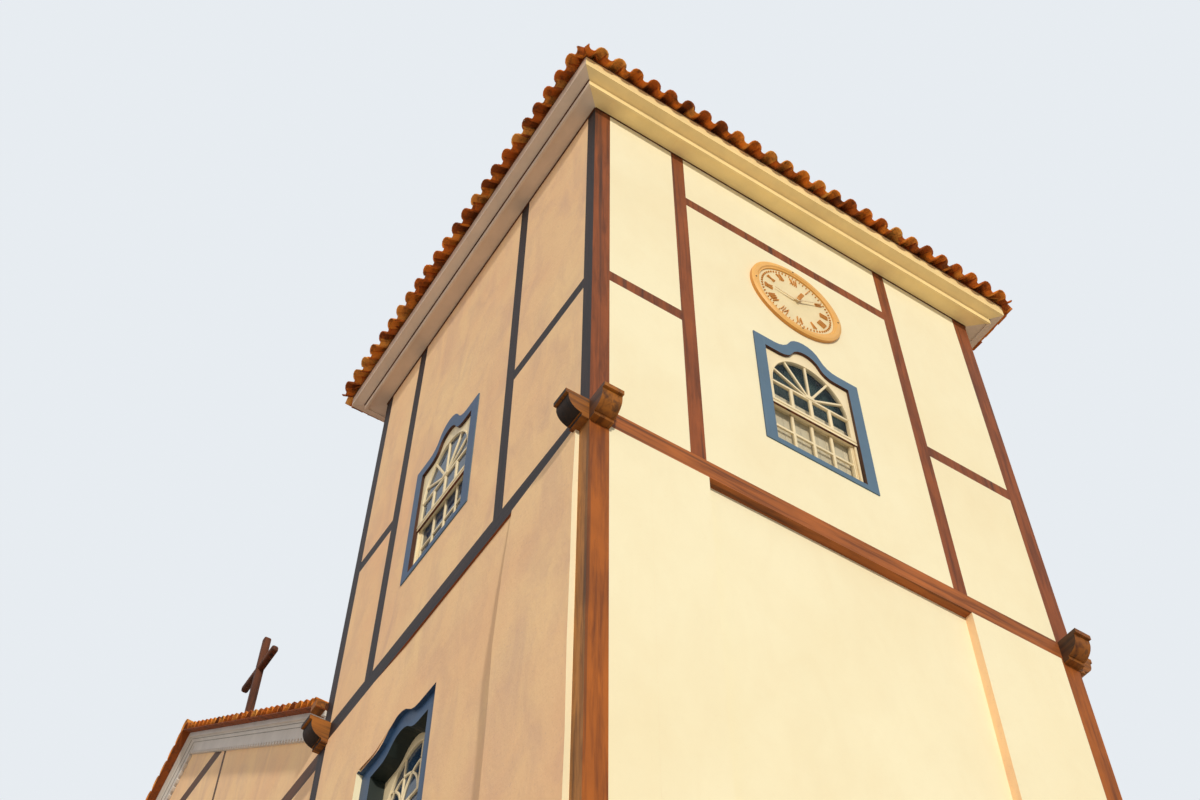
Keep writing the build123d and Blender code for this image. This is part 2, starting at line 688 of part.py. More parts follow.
def gable_timbers(margin, mode=Mode.ADD):
    """Collar and two posts that show on the gable's face."""
    depth = UPPER_WALL + margin
    collar_foot = BEAM_TOP + COLLAR_LEVEL - margin
    collar_top = BEAM_TOP + COLLAR_LEVEL + COLLAR_HEIGHT + margin
    run = (GABLE_APEX - collar_top) / ROOF_SLOPE
    with BuildSketch(FACADE_PLANE) as timbers:
        with Locations((0, (collar_foot + collar_top) / 2)):
            Rectangle(2 * min(run, GABLE_POST_OFFSET - GABLE_POST_WIDTH / 2 - SEAM + margin), collar_top - collar_foot)
        post_half = GABLE_POST_WIDTH / 2 + margin
        for side in (1, -1):
            near, far = (side * (GABLE_POST_OFFSET - post_half), side * (GABLE_POST_OFFSET + post_half))
            with BuildLine():
                Polyline((near, BEAM_TOP + SEAM - margin), (far, BEAM_TOP + SEAM - margin),
                         (far, roof_underside(far) - SEAM + margin), (near, roof_underside(near) - SEAM + margin),
                         close=True)
            make_face()
    extrude(timbers.sketch, amount=-depth, mode=mode)


with BuildPart() as gable_wall:
    gable_section(FACADE_PLANE, TOWER_INNER - SEAM, BEAM_TOP + SEAM, GABLE_WALL)
    gable_timbers(SEAM, Mode.SUBTRACT)
save(gable_wall.part, "gable_wall")

with BuildPart() as gable_frame:
    slab(FACADE_PLANE, SEAM - TOWER_INNER, TOWER_INNER - SEAM, BEAM_FOOT, BEAM_TOP, LOWER_WALL)
    gable_timbers(0)
save(gable_frame.part, "gable_frame")


def raking_cornice(plane_y, outward, end_x):
    """One slope's cornice on a gable, from beyond its low end up past the apex, then trimmed."""
    side = -outward.Y
    uphill = Vector(-side * cos(PITCH), 0, sin(PITCH))
    foot_x = side * (end_x + NAVE_WALL)
    start = Vector(foot_x, plane_y, roof_underside(foot_x))
    cuts = [Plane(origin=(side * SEAM / 2, 0, 0), z_dir=(side, 0, 0)),
            Plane(origin=(side * (end_x - SEAM), 0, 0), z_dir=(-side, 0, 0))]
    section = profile_over(-GABLE_CORNICE_HEIGHT, GABLE_PROFILE, GABLE_CORNICE_REACH, -SEAM)
    return moulding_run(section, start, uphill, outward, (end_x + 2 * NAVE_WALL) / cos(PITCH), cuts)


with BuildPart() as gable_cornice:
    for rake in (raking_cornice(GABLE_Y, Vector(0, -1, 0), TOWER_INNER),
                 raking_cornice(NAVE_REAR_Y, Vector(0, 1, 0), NAVE_OUTER)):
        add(rake)
        mirror(rake, about=Plane.YZ)
save(gable_cornice.part, "gable_cornice")


# Nave
def prism_along_nave(section, start, end):
    """A section across the building, drawn as X and height, run along the nave."""
    with BuildSketch(Plane(origin=(0, end, 0), x_dir=(1, 0, 0), z_dir=(0, -1, 0))) as across:
        with BuildLine():
            Polyline(*section, close=True)
        make_face()
    extrude(across.sketch, amount=end - start)


with BuildPart() as nave_side_wall:
    prism_along_nave([(TOWER_INNER, 0), (NAVE_OUTER, 0), (NAVE_OUTER, roof_underside(NAVE_OUTER) - SEAM),
                      (TOWER_INNER, roof_underside(TOWER_INNER) - SEAM)],
                     REAR_Y + SEAM, NAVE_REAR_Y - NAVE_WALL - SEAM)
    for window in NAVE_SIDE_WINDOWS:
        window_hole(window)
save_both_sides(nave_side_wall, "nave_side_walls")

with BuildPart() as nave_rear_wall:
    gable_section(REAR_PLANE, NAVE_OUTER, 0, NAVE_WALL)
    for side in (1, -1):
        window_hole(REAR_WINDOW_LEFT._replace(centre=side * FACADE_WINDOW))
save(nave_rear_wall.part, "nave_rear_wall")

ROOF_HEIGHT = ROOF_THICKNESS / cos(PITCH)
FRONT_VERGE = GABLE_Y - VERGE_REACH
REAR_VERGE = NAVE_REAR_Y + VERGE_REACH


def nave_slope(end_x, start, end):
    """The right-hand slope of the nave's roof between two stations."""
    prism_along_nave([(SEAM, roof_underside(SEAM)), (end_x, roof_underside(end_x)),
                      (end_x, roof_underside(end_x) + ROOF_HEIGHT), (SEAM, roof_underside(SEAM) + ROOF_HEIGHT)],
                     start, end)


with BuildPart() as nave_roof:
    nave_slope(TOWER_INNER - SEAM, FRONT_VERGE, REAR_Y)
    nave_slope(NAVE_OUTER + NAVE_EAVE_REACH, REAR_Y + SEAM, REAR_VERGE)
save_both_sides(nave_roof, "nave_roof")

with BuildPart() as nave_eaves:
    eave_top = roof_underside(NAVE_OUTER + NAVE_CORNICE_REACH) - SEAM
    eave_section = profile_over(eave_top - NAVE_CORNICE_HEIGHT, NAVE_CORNICE_PROFILE, NAVE_CORNICE_REACH, eave_top)
    eave_section[-1] = (SEAM, roof_underside(NAVE_OUTER) - SEAM)
    prism_along_nave([(NAVE_OUTER + out, up) for out, up in eave_section], REAR_Y + SEAM, NAVE_REAR_Y)
save_both_sides(nave_eaves, "nave_eaves")

with BuildPart() as ground_floor:
    block((SEAM - TOWER_INNER, GABLE_Y + LOWER_WALL + SEAM, 0),
          (TOWER_INNER - SEAM, NAVE_REAR_Y - NAVE_WALL - SEAM, GROUND_FLOOR))
save(ground_floor.part, "ground_floor")

with BuildPart() as choir_floor:
    block((SEAM - TOWER_INNER, GABLE_Y + LOWER_WALL + SEAM, CHOIR_FLOOR_TOP - FLOOR_THICKNESS),
          (TOWER_INNER - SEAM, REAR_Y, CHOIR_FLOOR_TOP))
save(choir_floor.part, "choir_floor")

# Cross on the ridge
with BuildPart() as ridge_cross:
    foot = GABLE_APEX + ROOF_HEIGHT + SEAM
    cross_y = FRONT_Y + CROSS_SETBACK
    with Locations((0, cross_y, (foot + BEAM_TOP + CROSS_TOP) / 2)):
        Box(2 * CROSS_RADIUS, 2 * CROSS_RADIUS, BEAM_TOP + CROSS_TOP - foot)
    with Locations((0, cross_y, BEAM_TOP + CROSS_ARM_LEVEL)):
        Box(2 * CROSS_ARM_REACH, 2 * CROSS_RADIUS, 2 * CROSS_RADIUS)
save(ridge_cross.part, "ridge_cross")

# Clock on the right tower's outer face
CLOCK_PLANE = FACES["outer"].offset(SEAM)
CLOCK_CENTRE = (SIDE_WINDOW, BEAM_TOP + CLOCK_HEIGHT)


def clock_disc(radius, near, far, mode=Mode.ADD):
    """A disc on the clock's axis between two distances off the wall."""
    with BuildSketch(CLOCK_PLANE.offset(near)) as disc:
        with Locations(CLOCK_CENTRE):
            Circle(radius)
    extrude(disc.sketch, amount=far - near, mode=mode)


def clock_hand(angle, half_root, half_tip, length, near):
    """A flat tapering hand turned clockwise from the top of the dial."""
    with BuildSketch(CLOCK_PLANE.offset(near)) as blade:
        with Locations(Location((*CLOCK_CENTRE, 0), (0, 0, -angle))):
            with BuildLine() as edge:
                Polyline((-half_root, 0), (half_root, 0), (half_tip, length), (-half_tip, length), close=True)
            add(make_face(edge.edges(), mode=Mode.PRIVATE))
    extrude(blade.sketch, amount=HAND_THICKNESS)


with BuildPart() as clock_dial:
    dial_axis = FACES["outer"].origin + Vector(SEAM, CLOCK_CENTRE[0], CLOCK_CENTRE[1])
    with BuildSketch(Plane(origin=dial_axis, x_dir=(0, 1, 0), z_dir=(0, 0, -1))) as dial_section:
        with BuildLine():
            bore = PIPE_RADIUS + RUNNING_FIT
            Polyline((bore, 0), (RING_RADIUS, 0), (RING_RADIUS, RING_THICKNESS - RING_STEP),
                     (RING_RADIUS - RING_STEP, RING_THICKNESS - RING_STEP / 2),
                     (RING_RADIUS - 2 * RING_STEP, RING_THICKNESS),
                     (DIAL_RADIUS + 2 * RING_STEP, RING_THICKNESS),
                     (DIAL_RADIUS + RING_STEP, RING_THICKNESS - RING_STEP),
                     (DIAL_RADIUS, RING_THICKNESS - RING_STEP), (DIAL_RADIUS, DIAL_THICKNESS),
                     (BOSS_RADIUS, DIAL_THICKNESS), (BOSS_RADIUS - RING_STEP / 2, BOSS_HEIGHT),
                     (bore, BOSS_HEIGHT), close=True)
        make_face()
    revolve(axis=Axis(dial_axis, (1, 0, 0)))
save(clock_dial.part, "clock_dial")

with BuildPart() as hour_hand:
    clock_hand(HOUR_ANGLE, 16, 5, HOUR_LENGTH, HOUR_OFFSET)
    clock_disc(HUB_RADIUS, HOUR_OFFSET, HOUR_OFFSET + HAND_THICKNESS)
    clock_disc(PIPE_RADIUS, SHAFT_START, HOUR_OFFSET)
    clock_disc(ARBOR_RADIUS + RUNNING_FIT, SHAFT_START, HOUR_OFFSET + HAND_THICKNESS, Mode.SUBTRACT)
save(hour_hand.part, "hour_hand")

with BuildPart() as minute_hand:
    clock_hand(MINUTE_ANGLE, 13, 4, MINUTE_LENGTH, MINUTE_OFFSET)
    clock_disc(HUB_RADIUS, MINUTE_OFFSET, MINUTE_OFFSET + HAND_THICKNESS)
    clock_disc(ARBOR_RADIUS, SHAFT_START, MINUTE_OFFSET)
save(minute_hand.part, "minute_hand")
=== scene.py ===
# %% [markdown]
# A colonial church with two timber-framed towers. The solid model of its
# walls, timbers and roofs comes in as a fixed frame; this file adds tiles,
# window bars, the clock's figures and every finish. Lengths are metres,
# +Z is up and the front of the church looks along -Y.

# %% Load the frame
import math
import random
import bpy
from mathutils import Matrix, Vector


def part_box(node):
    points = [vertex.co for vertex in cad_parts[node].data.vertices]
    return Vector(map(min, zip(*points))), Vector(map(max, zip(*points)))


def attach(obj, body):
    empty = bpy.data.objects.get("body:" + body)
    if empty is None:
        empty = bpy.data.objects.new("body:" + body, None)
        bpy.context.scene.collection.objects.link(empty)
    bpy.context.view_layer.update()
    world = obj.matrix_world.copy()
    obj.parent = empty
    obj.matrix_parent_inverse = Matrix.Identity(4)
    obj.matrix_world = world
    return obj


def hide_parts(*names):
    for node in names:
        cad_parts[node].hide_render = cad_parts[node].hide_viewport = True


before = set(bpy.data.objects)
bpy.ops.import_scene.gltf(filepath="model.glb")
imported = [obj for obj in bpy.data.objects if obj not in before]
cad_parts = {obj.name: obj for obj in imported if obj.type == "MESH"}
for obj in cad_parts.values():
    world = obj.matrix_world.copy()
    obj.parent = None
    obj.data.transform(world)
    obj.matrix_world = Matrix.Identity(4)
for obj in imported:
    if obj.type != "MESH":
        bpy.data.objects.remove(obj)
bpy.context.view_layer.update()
random.seed(1783)

# %% [markdown]
# Every new piece has to sit where the building has it, so the main lines of
# the plan and the levels are read once from the frame's own boxes. The towers'
# faces, the beams and the ridge then never need to be measured again.

# %% Main lines of the building
panels_low, panels_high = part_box("right_tower_panels")
TOWER_INNER, FRONT_Y, BEAM_TOP = panels_low
TOWER_OUTER, REAR_Y, WALL_TOP = panels_high
GABLE_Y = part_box("gable_frame")[0].y
ROOF_LOW, ROOF_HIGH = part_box("nave_roof")
NAVE_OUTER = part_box("nave_rear_wall")[1].x
NAVE_REAR_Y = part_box("nave_rear_wall")[1].y
ROOF_SLOPE = 0.672
RIDGE_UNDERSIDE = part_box("gable_wall")[1].z
print("tower", round(TOWER_INNER, 3), round(TOWER_OUTER, 3), "beam top", round(BEAM_TOP, 3),
      "ridge", round(RIDGE_UNDERSIDE, 3))

# %% [markdown]
# Blender's operators work on whatever is selected. These small helpers keep
# the selection honest: nothing is selected before a piece starts, one piece is
# picked by name before it is worked on, and a finished piece has its place
# and turn pressed into its mesh, so that its origin stays at the middle of the
# plan like every solid of the frame.

# %% Selection helpers
def pick_nothing():
    if bpy.context.object and bpy.context.object.mode != "OBJECT":
        bpy.ops.object.mode_set(mode="OBJECT")
    bpy.ops.object.select_all(action="DESELECT")


def pick(*pieces):
    pick_nothing()
    for piece in pieces:
        piece.select_set(True)
    bpy.context.view_layer.objects.active = pieces[0]


def settle(piece):
    pick(piece)
    bpy.ops.object.transform_apply(location=True, rotation=True, scale=True)
    return piece


def joined(pieces, name):
    pick(*pieces)
    if len(pieces) > 1:
        bpy.ops.object.join()
    whole = bpy.context.object
    whole.name = name
    whole.data.name = name
    return settle(whole)


def twin(piece):
    pick(piece)
    bpy.ops.object.duplicate(linked=False)
    return bpy.context.object


def finished(piece, kind, **settings):
    pick(piece)
    modifier = piece.modifiers.new(kind.title(), kind)
    for key, value in settings.items():
        setattr(modifier, key, value)
    bpy.ops.object.modifier_apply(modifier=modifier.name)
    return piece


# %% [markdown]
# Four jobs come back all through the building: one operator run on a whole
# mesh in Edit Mode, a plain block of a given size, a row of equal copies, and
# a count of the triangles that a finished piece has.

# %% Working helpers
def worked(piece, operator, **settings):
    pick(piece)
    bpy.ops.object.mode_set(mode="EDIT")
    bpy.ops.mesh.select_all(action="SELECT")
    operator(**settings)
    bpy.ops.object.mode_set(mode="OBJECT")
    return piece


def block(location, scale, turn=0.0):
    pick_nothing()
    bpy.ops.mesh.primitive_cube_add(size=1, location=location, scale=scale, rotation=(0, 0, turn))
    return settle(bpy.context.object)


def repeated(piece, count, step):
    return finished(piece, "ARRAY", count=count, use_relative_offset=False, use_constant_offset=True,
                    constant_offset_displace=step)


def triangles(piece):
    return sum(len(face.vertices) - 2 for face in piece.data.polygons)


# %% [markdown]
# A wall's face is easiest to work on flat: u runs to the right along the face,
# v straight up and w out of the wall. A placing matrix then stands the flat
# work up on its wall. The mirrored left tower uses the same work on its own
# planes. A few pieces are placed by three free axes instead; where those
# mirror a piece, its faces are turned back out.

# %% Wall planes
def wall_matrix(x, y, outward, z=0.0):
    out = Vector(outward)
    right = Vector((0, 0, 1)).cross(out)
    turn = Matrix((right, Vector((0, 0, 1)), out)).transposed()
    return Matrix.Translation((x, y, z)) @ turn.to_4x4()


def stand_on(piece, matrix):
    piece.matrix_world = matrix
    return settle(piece)


def stand_turned(piece, place, turn):
    """Stand a piece by three axes; where they mirror it, its faces are turned back out."""
    stand_on(piece, Matrix.Translation(place) @ turn.to_4x4())
    if turn.determinant() < 0:
        worked(piece, bpy.ops.mesh.flip_normals)
    return piece


# %% [markdown]
# Finishes. Each one is a handful of procedural nodes: an even colour, soft
# blotches over it, a finer grain, and a bump that catches light. A short
# builder keeps the cells readable: it starts a material, hands back its
# shader, and offers the noise, ramp and bump that the finishes share.

# %% Material helpers
class Finish:
    def __init__(self, name, roughness):
        self.material = bpy.data.materials.new(name)
        self.material.use_nodes = True
        self.tree = self.material.node_tree
        self.shader = self.tree.nodes["Principled BSDF"]
        self.shader.inputs["Roughness"].default_value = roughness
        self.place = self.tree.nodes.new("ShaderNodeTexCoord").outputs["Object"]

    def node(self, kind, **settings):
        node = self.tree.nodes.new(kind)
        for key, value in settings.items():
            setattr(node, key, value)
        return node

    def link(self, output, target):
        self.tree.links.new(output, target)

    def feed(self, socket, value):
        """Link an output, or set a number or a colour on the socket itself."""
        if isinstance(value, bpy.types.NodeSocket):
            self.link(value, socket)
        elif isinstance(value, (int, float)):
            socket.default_value = value
        else:
            socket.default_value = (*value, 1)

    def stretched(self, scale, turn=(0, 0, 0)):
        mapping = self.node("ShaderNodeMapping")
        mapping.inputs["Scale"].default_value = scale
        mapping.inputs["Rotation"].default_value = turn
        self.link(self.place, mapping.inputs["Vector"])
        return mapping.outputs["Vector"]

    def noise(self, scale, detail=4.0, rough=0.55, vector=None, distortion=0.0):
        noise = self.node("ShaderNodeTexNoise")
        noise.inputs["Scale"].default_value = scale
        noise.inputs["Detail"].default_value = detail
        noise.inputs["Roughness"].default_value = rough
        noise.inputs["Distortion"].default_value = distortion
        self.link(vector or self.place, noise.inputs["Vector"])
        return noise.outputs["Fac"]

    def ramp(self, factor, stops):
        ramp = self.node("ShaderNodeValToRGB")
        while len(ramp.color_ramp.elements) < len(stops):
            ramp.color_ramp.elements.new(0.5)
        for element, (position, value) in zip(ramp.color_ramp.elements, stops):
            element.position = position
            element.color = (value, value, value, 1) if isinstance(value, (int, float)) else (*value, 1)
        self.link(factor, ramp.inputs["Fac"])
        return ramp.outputs["Color"]

    def mix(self, factor, first, second):
        mix = self.node("ShaderNodeMix", data_type="RGBA")
        for number, value in ((0, factor), (6, first), (7, second)):
            self.feed(mix.inputs[number], value)
        return mix.outputs[2]

    def reckon(self, kind, *values):
        node = self.node("ShaderNodeMath", operation=kind)
        for socket, value in zip(node.inputs, values):
            self.feed(socket, value)
        return node.outputs[0]

    def outside(self, axis, low, high):
        """One where a point's distance along an axis leaves the range, nought inside it."""
        parts = self.node("ShaderNodeSeparateXYZ")
        self.link(self.place, parts.inputs[0])
        reach = parts.outputs["xyz".index(axis)]
        if axis == "x":
            reach = self.reckon("ABSOLUTE", reach)
        below = self.reckon("LESS_THAN", reach, low)
        above = self.reckon("GREATER_THAN", reach, high)
        return self.reckon("MAXIMUM", below, above)

    def colour(self, output):
        self.link(output, self.shader.inputs["Base Color"])

    def bump(self, height, distance, strength=1.0):
        bump = self.node("ShaderNodeBump")
        bump.inputs["Distance"].default_value = distance
        bump.inputs["Strength"].default_value = strength
        self.link(height, bump.inputs["Height"])
        if self.shader.inputs["Normal"].is_linked:
            self.link(self.shader.inputs["Normal"].links[0].from_socket, bump.inputs["Normal"])
        self.link(bump.outputs["Normal"], self.shader.inputs["Normal"])


def srgb(red, green, blue):
    """A colour read off as 0 to 255, as the shader wants it."""
    return tuple((c / 255 / 12.92) if c / 255 <= 0.04045 else ((c / 255 + 0.055) / 1.055) ** 2.4
                 for c in (red, green, blue))


def drawn_out(along, share):
    """The scale of a noise whose marks run along one axis."""
    return tuple(share if axis == along else 1 for axis in "xyz")


# %% [markdown]
# Limewash over earth plaster is never one colour. It goes on with a wide brush
# in many thin coats, so there are cloudy patches about a metre across, fine
# vertical brush marks, and a lumpy surface where the wall was floated by hand.
# The front is more brushed than the sides, and pinker: that pink is painted light, the warm low light that
# grazes the front.

# %% Limewashed plaster
def limewash(name, light, worn, stain, brushed):
    plaster = Finish(name, 0.88)
    patches = plaster.ramp(plaster.noise(0.55, 5, 0.6), [(0.36, 0.0), (0.68, 1.0)])
    base = plaster.mix(patches, light, worn)
    brush = plaster.stretched((1.0, 1.0, 0.42), (0.3, 0.2, 0))
    streaks = plaster.ramp(plaster.noise(2.6, 6, 0.62, brush, 0.8), [(0.44, 0.0), (0.72, 1.0)])
    base = plaster.mix(streaks, base, plaster.mix(0.16 + brushed * 0.24, base, stain))
    specks = plaster.ramp(plaster.noise(38, 3, 0.5), [(0.62, 0.0), (0.74, 1.0)])
    base = plaster.mix(specks, base, plaster.mix(0.15 + brushed * 0.2, base, stain))
    plaster.colour(base)
    plaster.bump(plaster.noise(1.6, 4, 0.5), 0.03, 0.5)
    plaster.bump(plaster.noise(26, 4, 0.6), 0.004, 0.3 + brushed * 0.4)
    plaster.bump(plaster.noise(120, 2, 0.6), 0.0012, 0.5)
    return plaster.material


side_plaster = limewash("limewash_cream", srgb(247, 238, 204), srgb(243, 231, 194),
                        srgb(234, 216, 176), 0.0)
# The front's pinker tone is painted light: the warm grazing light on that face.
front_plaster_painted_light = limewash("limewash_front_painted_light", srgb(255, 218, 168), srgb(248, 202, 158),
                         srgb(204, 166, 152), 1.0)

# %% [markdown]
# The frame is hewn hardwood painted with a red-brown oil stain. Grain runs
# along a timber, so there is one finish for upright pieces and one for level
# ones along each axis: the same recipe with its noise drawn out another way.
# The oil has worn to orange below the beams and on the carved ends. On the front faces the timber is a nearly
# black painted shade, and the fronts of the outer corner posts below the beam carry a golden painted light.

# %% Brown timber
def timber(name, along, dark, light, roughness=0.62, cracks=0.5, patch=None):
    """Stained wood; a patch is an axis, a range and the dark and light of what lies outside it."""
    wood = Finish(name, roughness)
    wood.shader.inputs["Specular IOR Level"].default_value = 0.3
    squeeze = drawn_out(along, 0.07)
    grain = wood.noise(16, 6, 0.65, wood.stretched(squeeze), 0.4)
    fibres = wood.noise(90, 3, 0.6, wood.stretched(squeeze))
    weather = wood.ramp(wood.noise(1.3, 4, 0.6), [(0.35, 0.0), (0.7, 1.0)])
    tone = wood.ramp(grain, [(0.32, dark), (0.52, light), (0.75, tuple(min(1, c * 1.35) for c in light))])
    if patch:
        axis, low, high, patch_dark, patch_light = patch
        other = wood.ramp(grain, [(0.30, patch_dark), (0.56, patch_light)])
        tone = wood.mix(wood.outside(axis, low, high), tone, other)
    tone = wood.mix(weather, tone, wood.mix(0.45, tone, dark))
    long_squeeze = tuple(share * (0.35 if share < 1 else 1.6) for share in squeeze)
    split = wood.ramp(wood.noise(9, 2, 0.5, wood.stretched(long_squeeze)), [(0.60, 0.0), (0.66, 1.0)])
    tone = wood.mix(split, tone, wood.mix(cracks, tone, (0.02, 0.012, 0.008)))
    wood.colour(tone)
    wood.bump(grain, 0.006, 0.6)
    wood.bump(fibres, 0.0016, 0.6)
    return wood.material


BEAM_FOOT = BEAM_TOP - 0.215
TIMBER_DARK, TIMBER_LIGHT = srgb(92, 44, 14), srgb(138, 72, 32)
CARVED_DARK, CARVED_LIGHT = srgb(66, 36, 10), srgb(158, 96, 30)
# Front timbers: nearly black painted shade for the faces away from the light.
FRONT_PAINTED_SHADE_DARK, FRONT_PAINTED_SHADE_LIGHT = srgb(19, 14, 17), srgb(42, 29, 29)
timber_upright = timber("brown_timber_upright", "z", TIMBER_DARK, TIMBER_LIGHT,
                        patch=("z", BEAM_FOOT, 99, srgb(112, 56, 14), srgb(172, 94, 28)))
timber_across = timber("brown_timber_across", "x", TIMBER_DARK, TIMBER_LIGHT,
                       patch=("x", TOWER_INNER, TOWER_OUTER, CARVED_DARK, CARVED_LIGHT))
timber_along = timber("brown_timber_along", "y", srgb(106, 54, 18), srgb(164, 92, 40),
                      patch=("y", FRONT_Y, REAR_Y, CARVED_DARK, CARVED_LIGHT))
floor_boards = timber("floor_boards", "y", srgb(82, 56, 36), srgb(128, 92, 62))
front_upright_painted_shade = timber("front_timber_upright_painted_shade", "z", FRONT_PAINTED_SHADE_DARK, FRONT_PAINTED_SHADE_LIGHT)
front_across_painted_shade = timber("front_timber_across_painted_shade", "x", FRONT_PAINTED_SHADE_DARK, FRONT_PAINTED_SHADE_LIGHT,
                      patch=("x", TOWER_INNER, TOWER_OUTER, srgb(42, 24, 14), srgb(96, 58, 28)))
# Outer corner posts' fronts: nearly black painted shade above the beam, a golden painted light below it where
# the post turns to the sun.
corner_front_painted_shade_and_light = timber("front_timber_corner_painted_shade_and_light", "z", FRONT_PAINTED_SHADE_DARK, FRONT_PAINTED_SHADE_LIGHT,
                      patch=("z", BEAM_FOOT, 99, srgb(112, 68, 30), srgb(190, 128, 66)))
# Nearly black painted shade for the front and under faces of the carved beam ends.
carved_shade = timber("carved_shade", "z", srgb(16, 11, 9), srgb(44, 28, 18), 0.75)
cross_wood = timber("cross_wood", "z", srgb(48, 27, 18), srgb(104, 58, 34), 0.75, 0.8)

# %% [markdown]
# Painted joinery: several coats of oil paint over planed boards. The brush leaves faint lengthwise strokes,
# the paint is a touch thin on raised grain, and dust gathers in patches. Blue is for the window frames, cream
# for sashes, shutters and the boxed cornices; the front's frames take a darker blue of painted shade, and the
# cornices a golden painted light on the sunny side and a greyer painted shade on the others. The shutters are
# cream up to the fanlights, and above them a dark green painted shade, for the shade of the fanlights' heads
# and the dark room behind.

# %% Painted boards
def painted(name, paint, under, roughness, wear=0.35, along="z", head=None):
    """Worn oil paint; a head is a level, and the colour of the painted shade over everything above it."""
    paintwork = Finish(name, roughness)
    squeeze = drawn_out(along, 0.05)
    strokes = paintwork.noise(60, 4, 0.6, paintwork.stretched(squeeze))
    cloud = paintwork.ramp(paintwork.noise(2.4, 5, 0.6), [(0.35, 0.0), (0.7, 1.0)])
    tone = paintwork.mix(cloud, paint, tuple(c * 0.86 for c in paint))
    bare = paintwork.noise(24, 5, 0.65, paintwork.stretched(squeeze))
    thin = paintwork.ramp(bare, [(0.60, 0.0), (0.78, 1.0)])
    tone = paintwork.mix(thin, tone, paintwork.mix(wear, tone, under))
    if head:
        level, shade = head
        deep = paintwork.mix(cloud, shade, (0.006, 0.012, 0.010))
        tone = paintwork.mix(paintwork.outside("z", -1, level), tone, deep)
    paintwork.colour(tone)
    paintwork.bump(strokes, 0.0012, 0.6)
    paintwork.bump(paintwork.noise(5, 3, 0.5), 0.004, 0.3)
    return paintwork.material


FAN_LEVEL = BEAM_TOP + 1.84
blue_boards = painted("blue_boards", srgb(76, 106, 130), srgb(120, 132, 140), 0.5)
# Darker blue: painted shade for the frames on the front, away from the light.
blue_with_painted_shade = painted("blue_with_painted_shade", srgb(40, 72, 108), srgb(70, 92, 116), 0.5)
# Above the fanlight's foot the shutters carry a dark green painted shade.
shutter_paint_and_painted_shade = painted("shutter_paint_and_painted_shade", srgb(240, 228, 196), srgb(218, 204, 170), 0.6, 0.15,
                        head=(FAN_LEVEL, srgb(26, 56, 52)))
cream_boards = painted("cream_boards", srgb(246, 228, 188), srgb(190, 168, 130), 0.5, 0.3)
# Cornice paint on the sunny side is golden with painted warm light; the other faces take a greyer painted
# shade.
cornice_with_painted_light = painted("cornice_with_painted_light", srgb(255, 226, 162), srgb(238, 192, 122), 0.55, 0.2, "x")
cornice_with_painted_shade = painted("cornice_front_with_painted_shade", srgb(228, 206, 186), srgb(196, 172, 152), 0.55, 0.2, "x")
gable_paint = painted("gable_paint", srgb(214, 208, 202), srgb(188, 180, 172), 0.6, 0.15, "x")
door_paint = painted("door_paint", srgb(66, 93, 122), srgb(104, 104, 98), 0.48, 0.5)
dial_paint = painted("dial_paint", srgb(240, 222, 176), srgb(214, 184, 132), 0.5, 0.3)
ring_paint = painted("ring_paint", srgb(240, 182, 96), srgb(206, 142, 72), 0.45, 0.35)
figure_paint_and_rim_shade = painted("figure_paint_and_rim_shade", srgb(218, 150, 66), srgb(172, 112, 52), 0.45, 0.3)
hand_paint = painted("hand_paint", srgb(238, 214, 168), srgb(180, 150, 104), 0.4, 0.3)
print("painted finishes ready")

# %% [markdown]
# Window glass in a church like this is thin and a little uneven. On the sides it is clear enough to show the
# shutters close behind it; on the front, away from the sun, it is a nearly opaque dark blue: painted
# reflection and painted shade.

# %% Glass
def pane_glass(name, cloud_scale, dark, light, body):
    pane = Finish(name, 0.05)
    clouds = pane.ramp(pane.noise(cloud_scale, 4, 0.6), [(0.35, 0.0), (0.75, 1.0)])
    pane.colour(pane.mix(clouds, dark, light))
    pane.shader.inputs["Alpha"].default_value = body
    pane.bump(pane.noise(3.0, 2, 0.4), 0.004, 0.25)
    return pane.material


glass = pane_glass("window_glass", 4.0, srgb(36, 62, 72), srgb(70, 92, 96), 0.11)
# Front panes: painted reflection of the sky and painted shade, in a dark blue.
front_glass_painted_reflection = pane_glass("front_window_glass_painted_reflection", 2.5, srgb(26, 52, 84), srgb(58, 88, 116), 0.82)

# %% [markdown]
# Clay tiles are fired in wood kilns and no two match. Every tile gets its own
# tint, stored on its corners when it is copied; the finish turns that number
# into a colour between pale orange and burnt brown, then adds soot-dark lichen
# and a sandy skin.

# %% Clay
def clay(name, from_tint):
    tile = Finish(name, 0.82)
    tile.shader.inputs["Specular IOR Level"].default_value = 0.25
    if from_tint:
        tint = tile.node("ShaderNodeAttribute", attribute_name="tint").outputs["Fac"]
    else:
        tint = tile.noise(3.0, 2, 0.5)
    burns = (srgb(136, 68, 24), srgb(204, 106, 34), srgb(226, 130, 42), srgb(232, 160, 76))
    tone = tile.ramp(tint, list(zip((0.0, 0.35, 0.7, 1.0), burns)))
    soot = tile.ramp(tile.noise(7.5, 6, 0.7), [(0.47, 0.0), (0.66, 1.0)])
    tone = tile.mix(soot, tone, tile.mix(0.72, tone, srgb(48, 34, 26)))
    tile.colour(tone)
    tile.bump(tile.noise(30, 4, 0.65), 0.003, 0.6)
    tile.bump(tile.noise(150, 2, 0.6), 0.0008, 0.6)
    return tile.material


tile_clay = clay("roof_clay", True)
mortar_clay = clay("bedding_clay", False)
eave_boards = timber("eave_boards", "x", srgb(58, 32, 20), srgb(104, 60, 36), 0.75)

# %% [markdown]
# The frame's own solids keep their shape and only change their dress. Posts take the upright finish and beams
# the one that runs with their length. Many pieces carry a further finish on some of their faces, above all on
# those that look to the front, where most of these finishes are painted shade and some painted light; a short
# test picks these faces out.

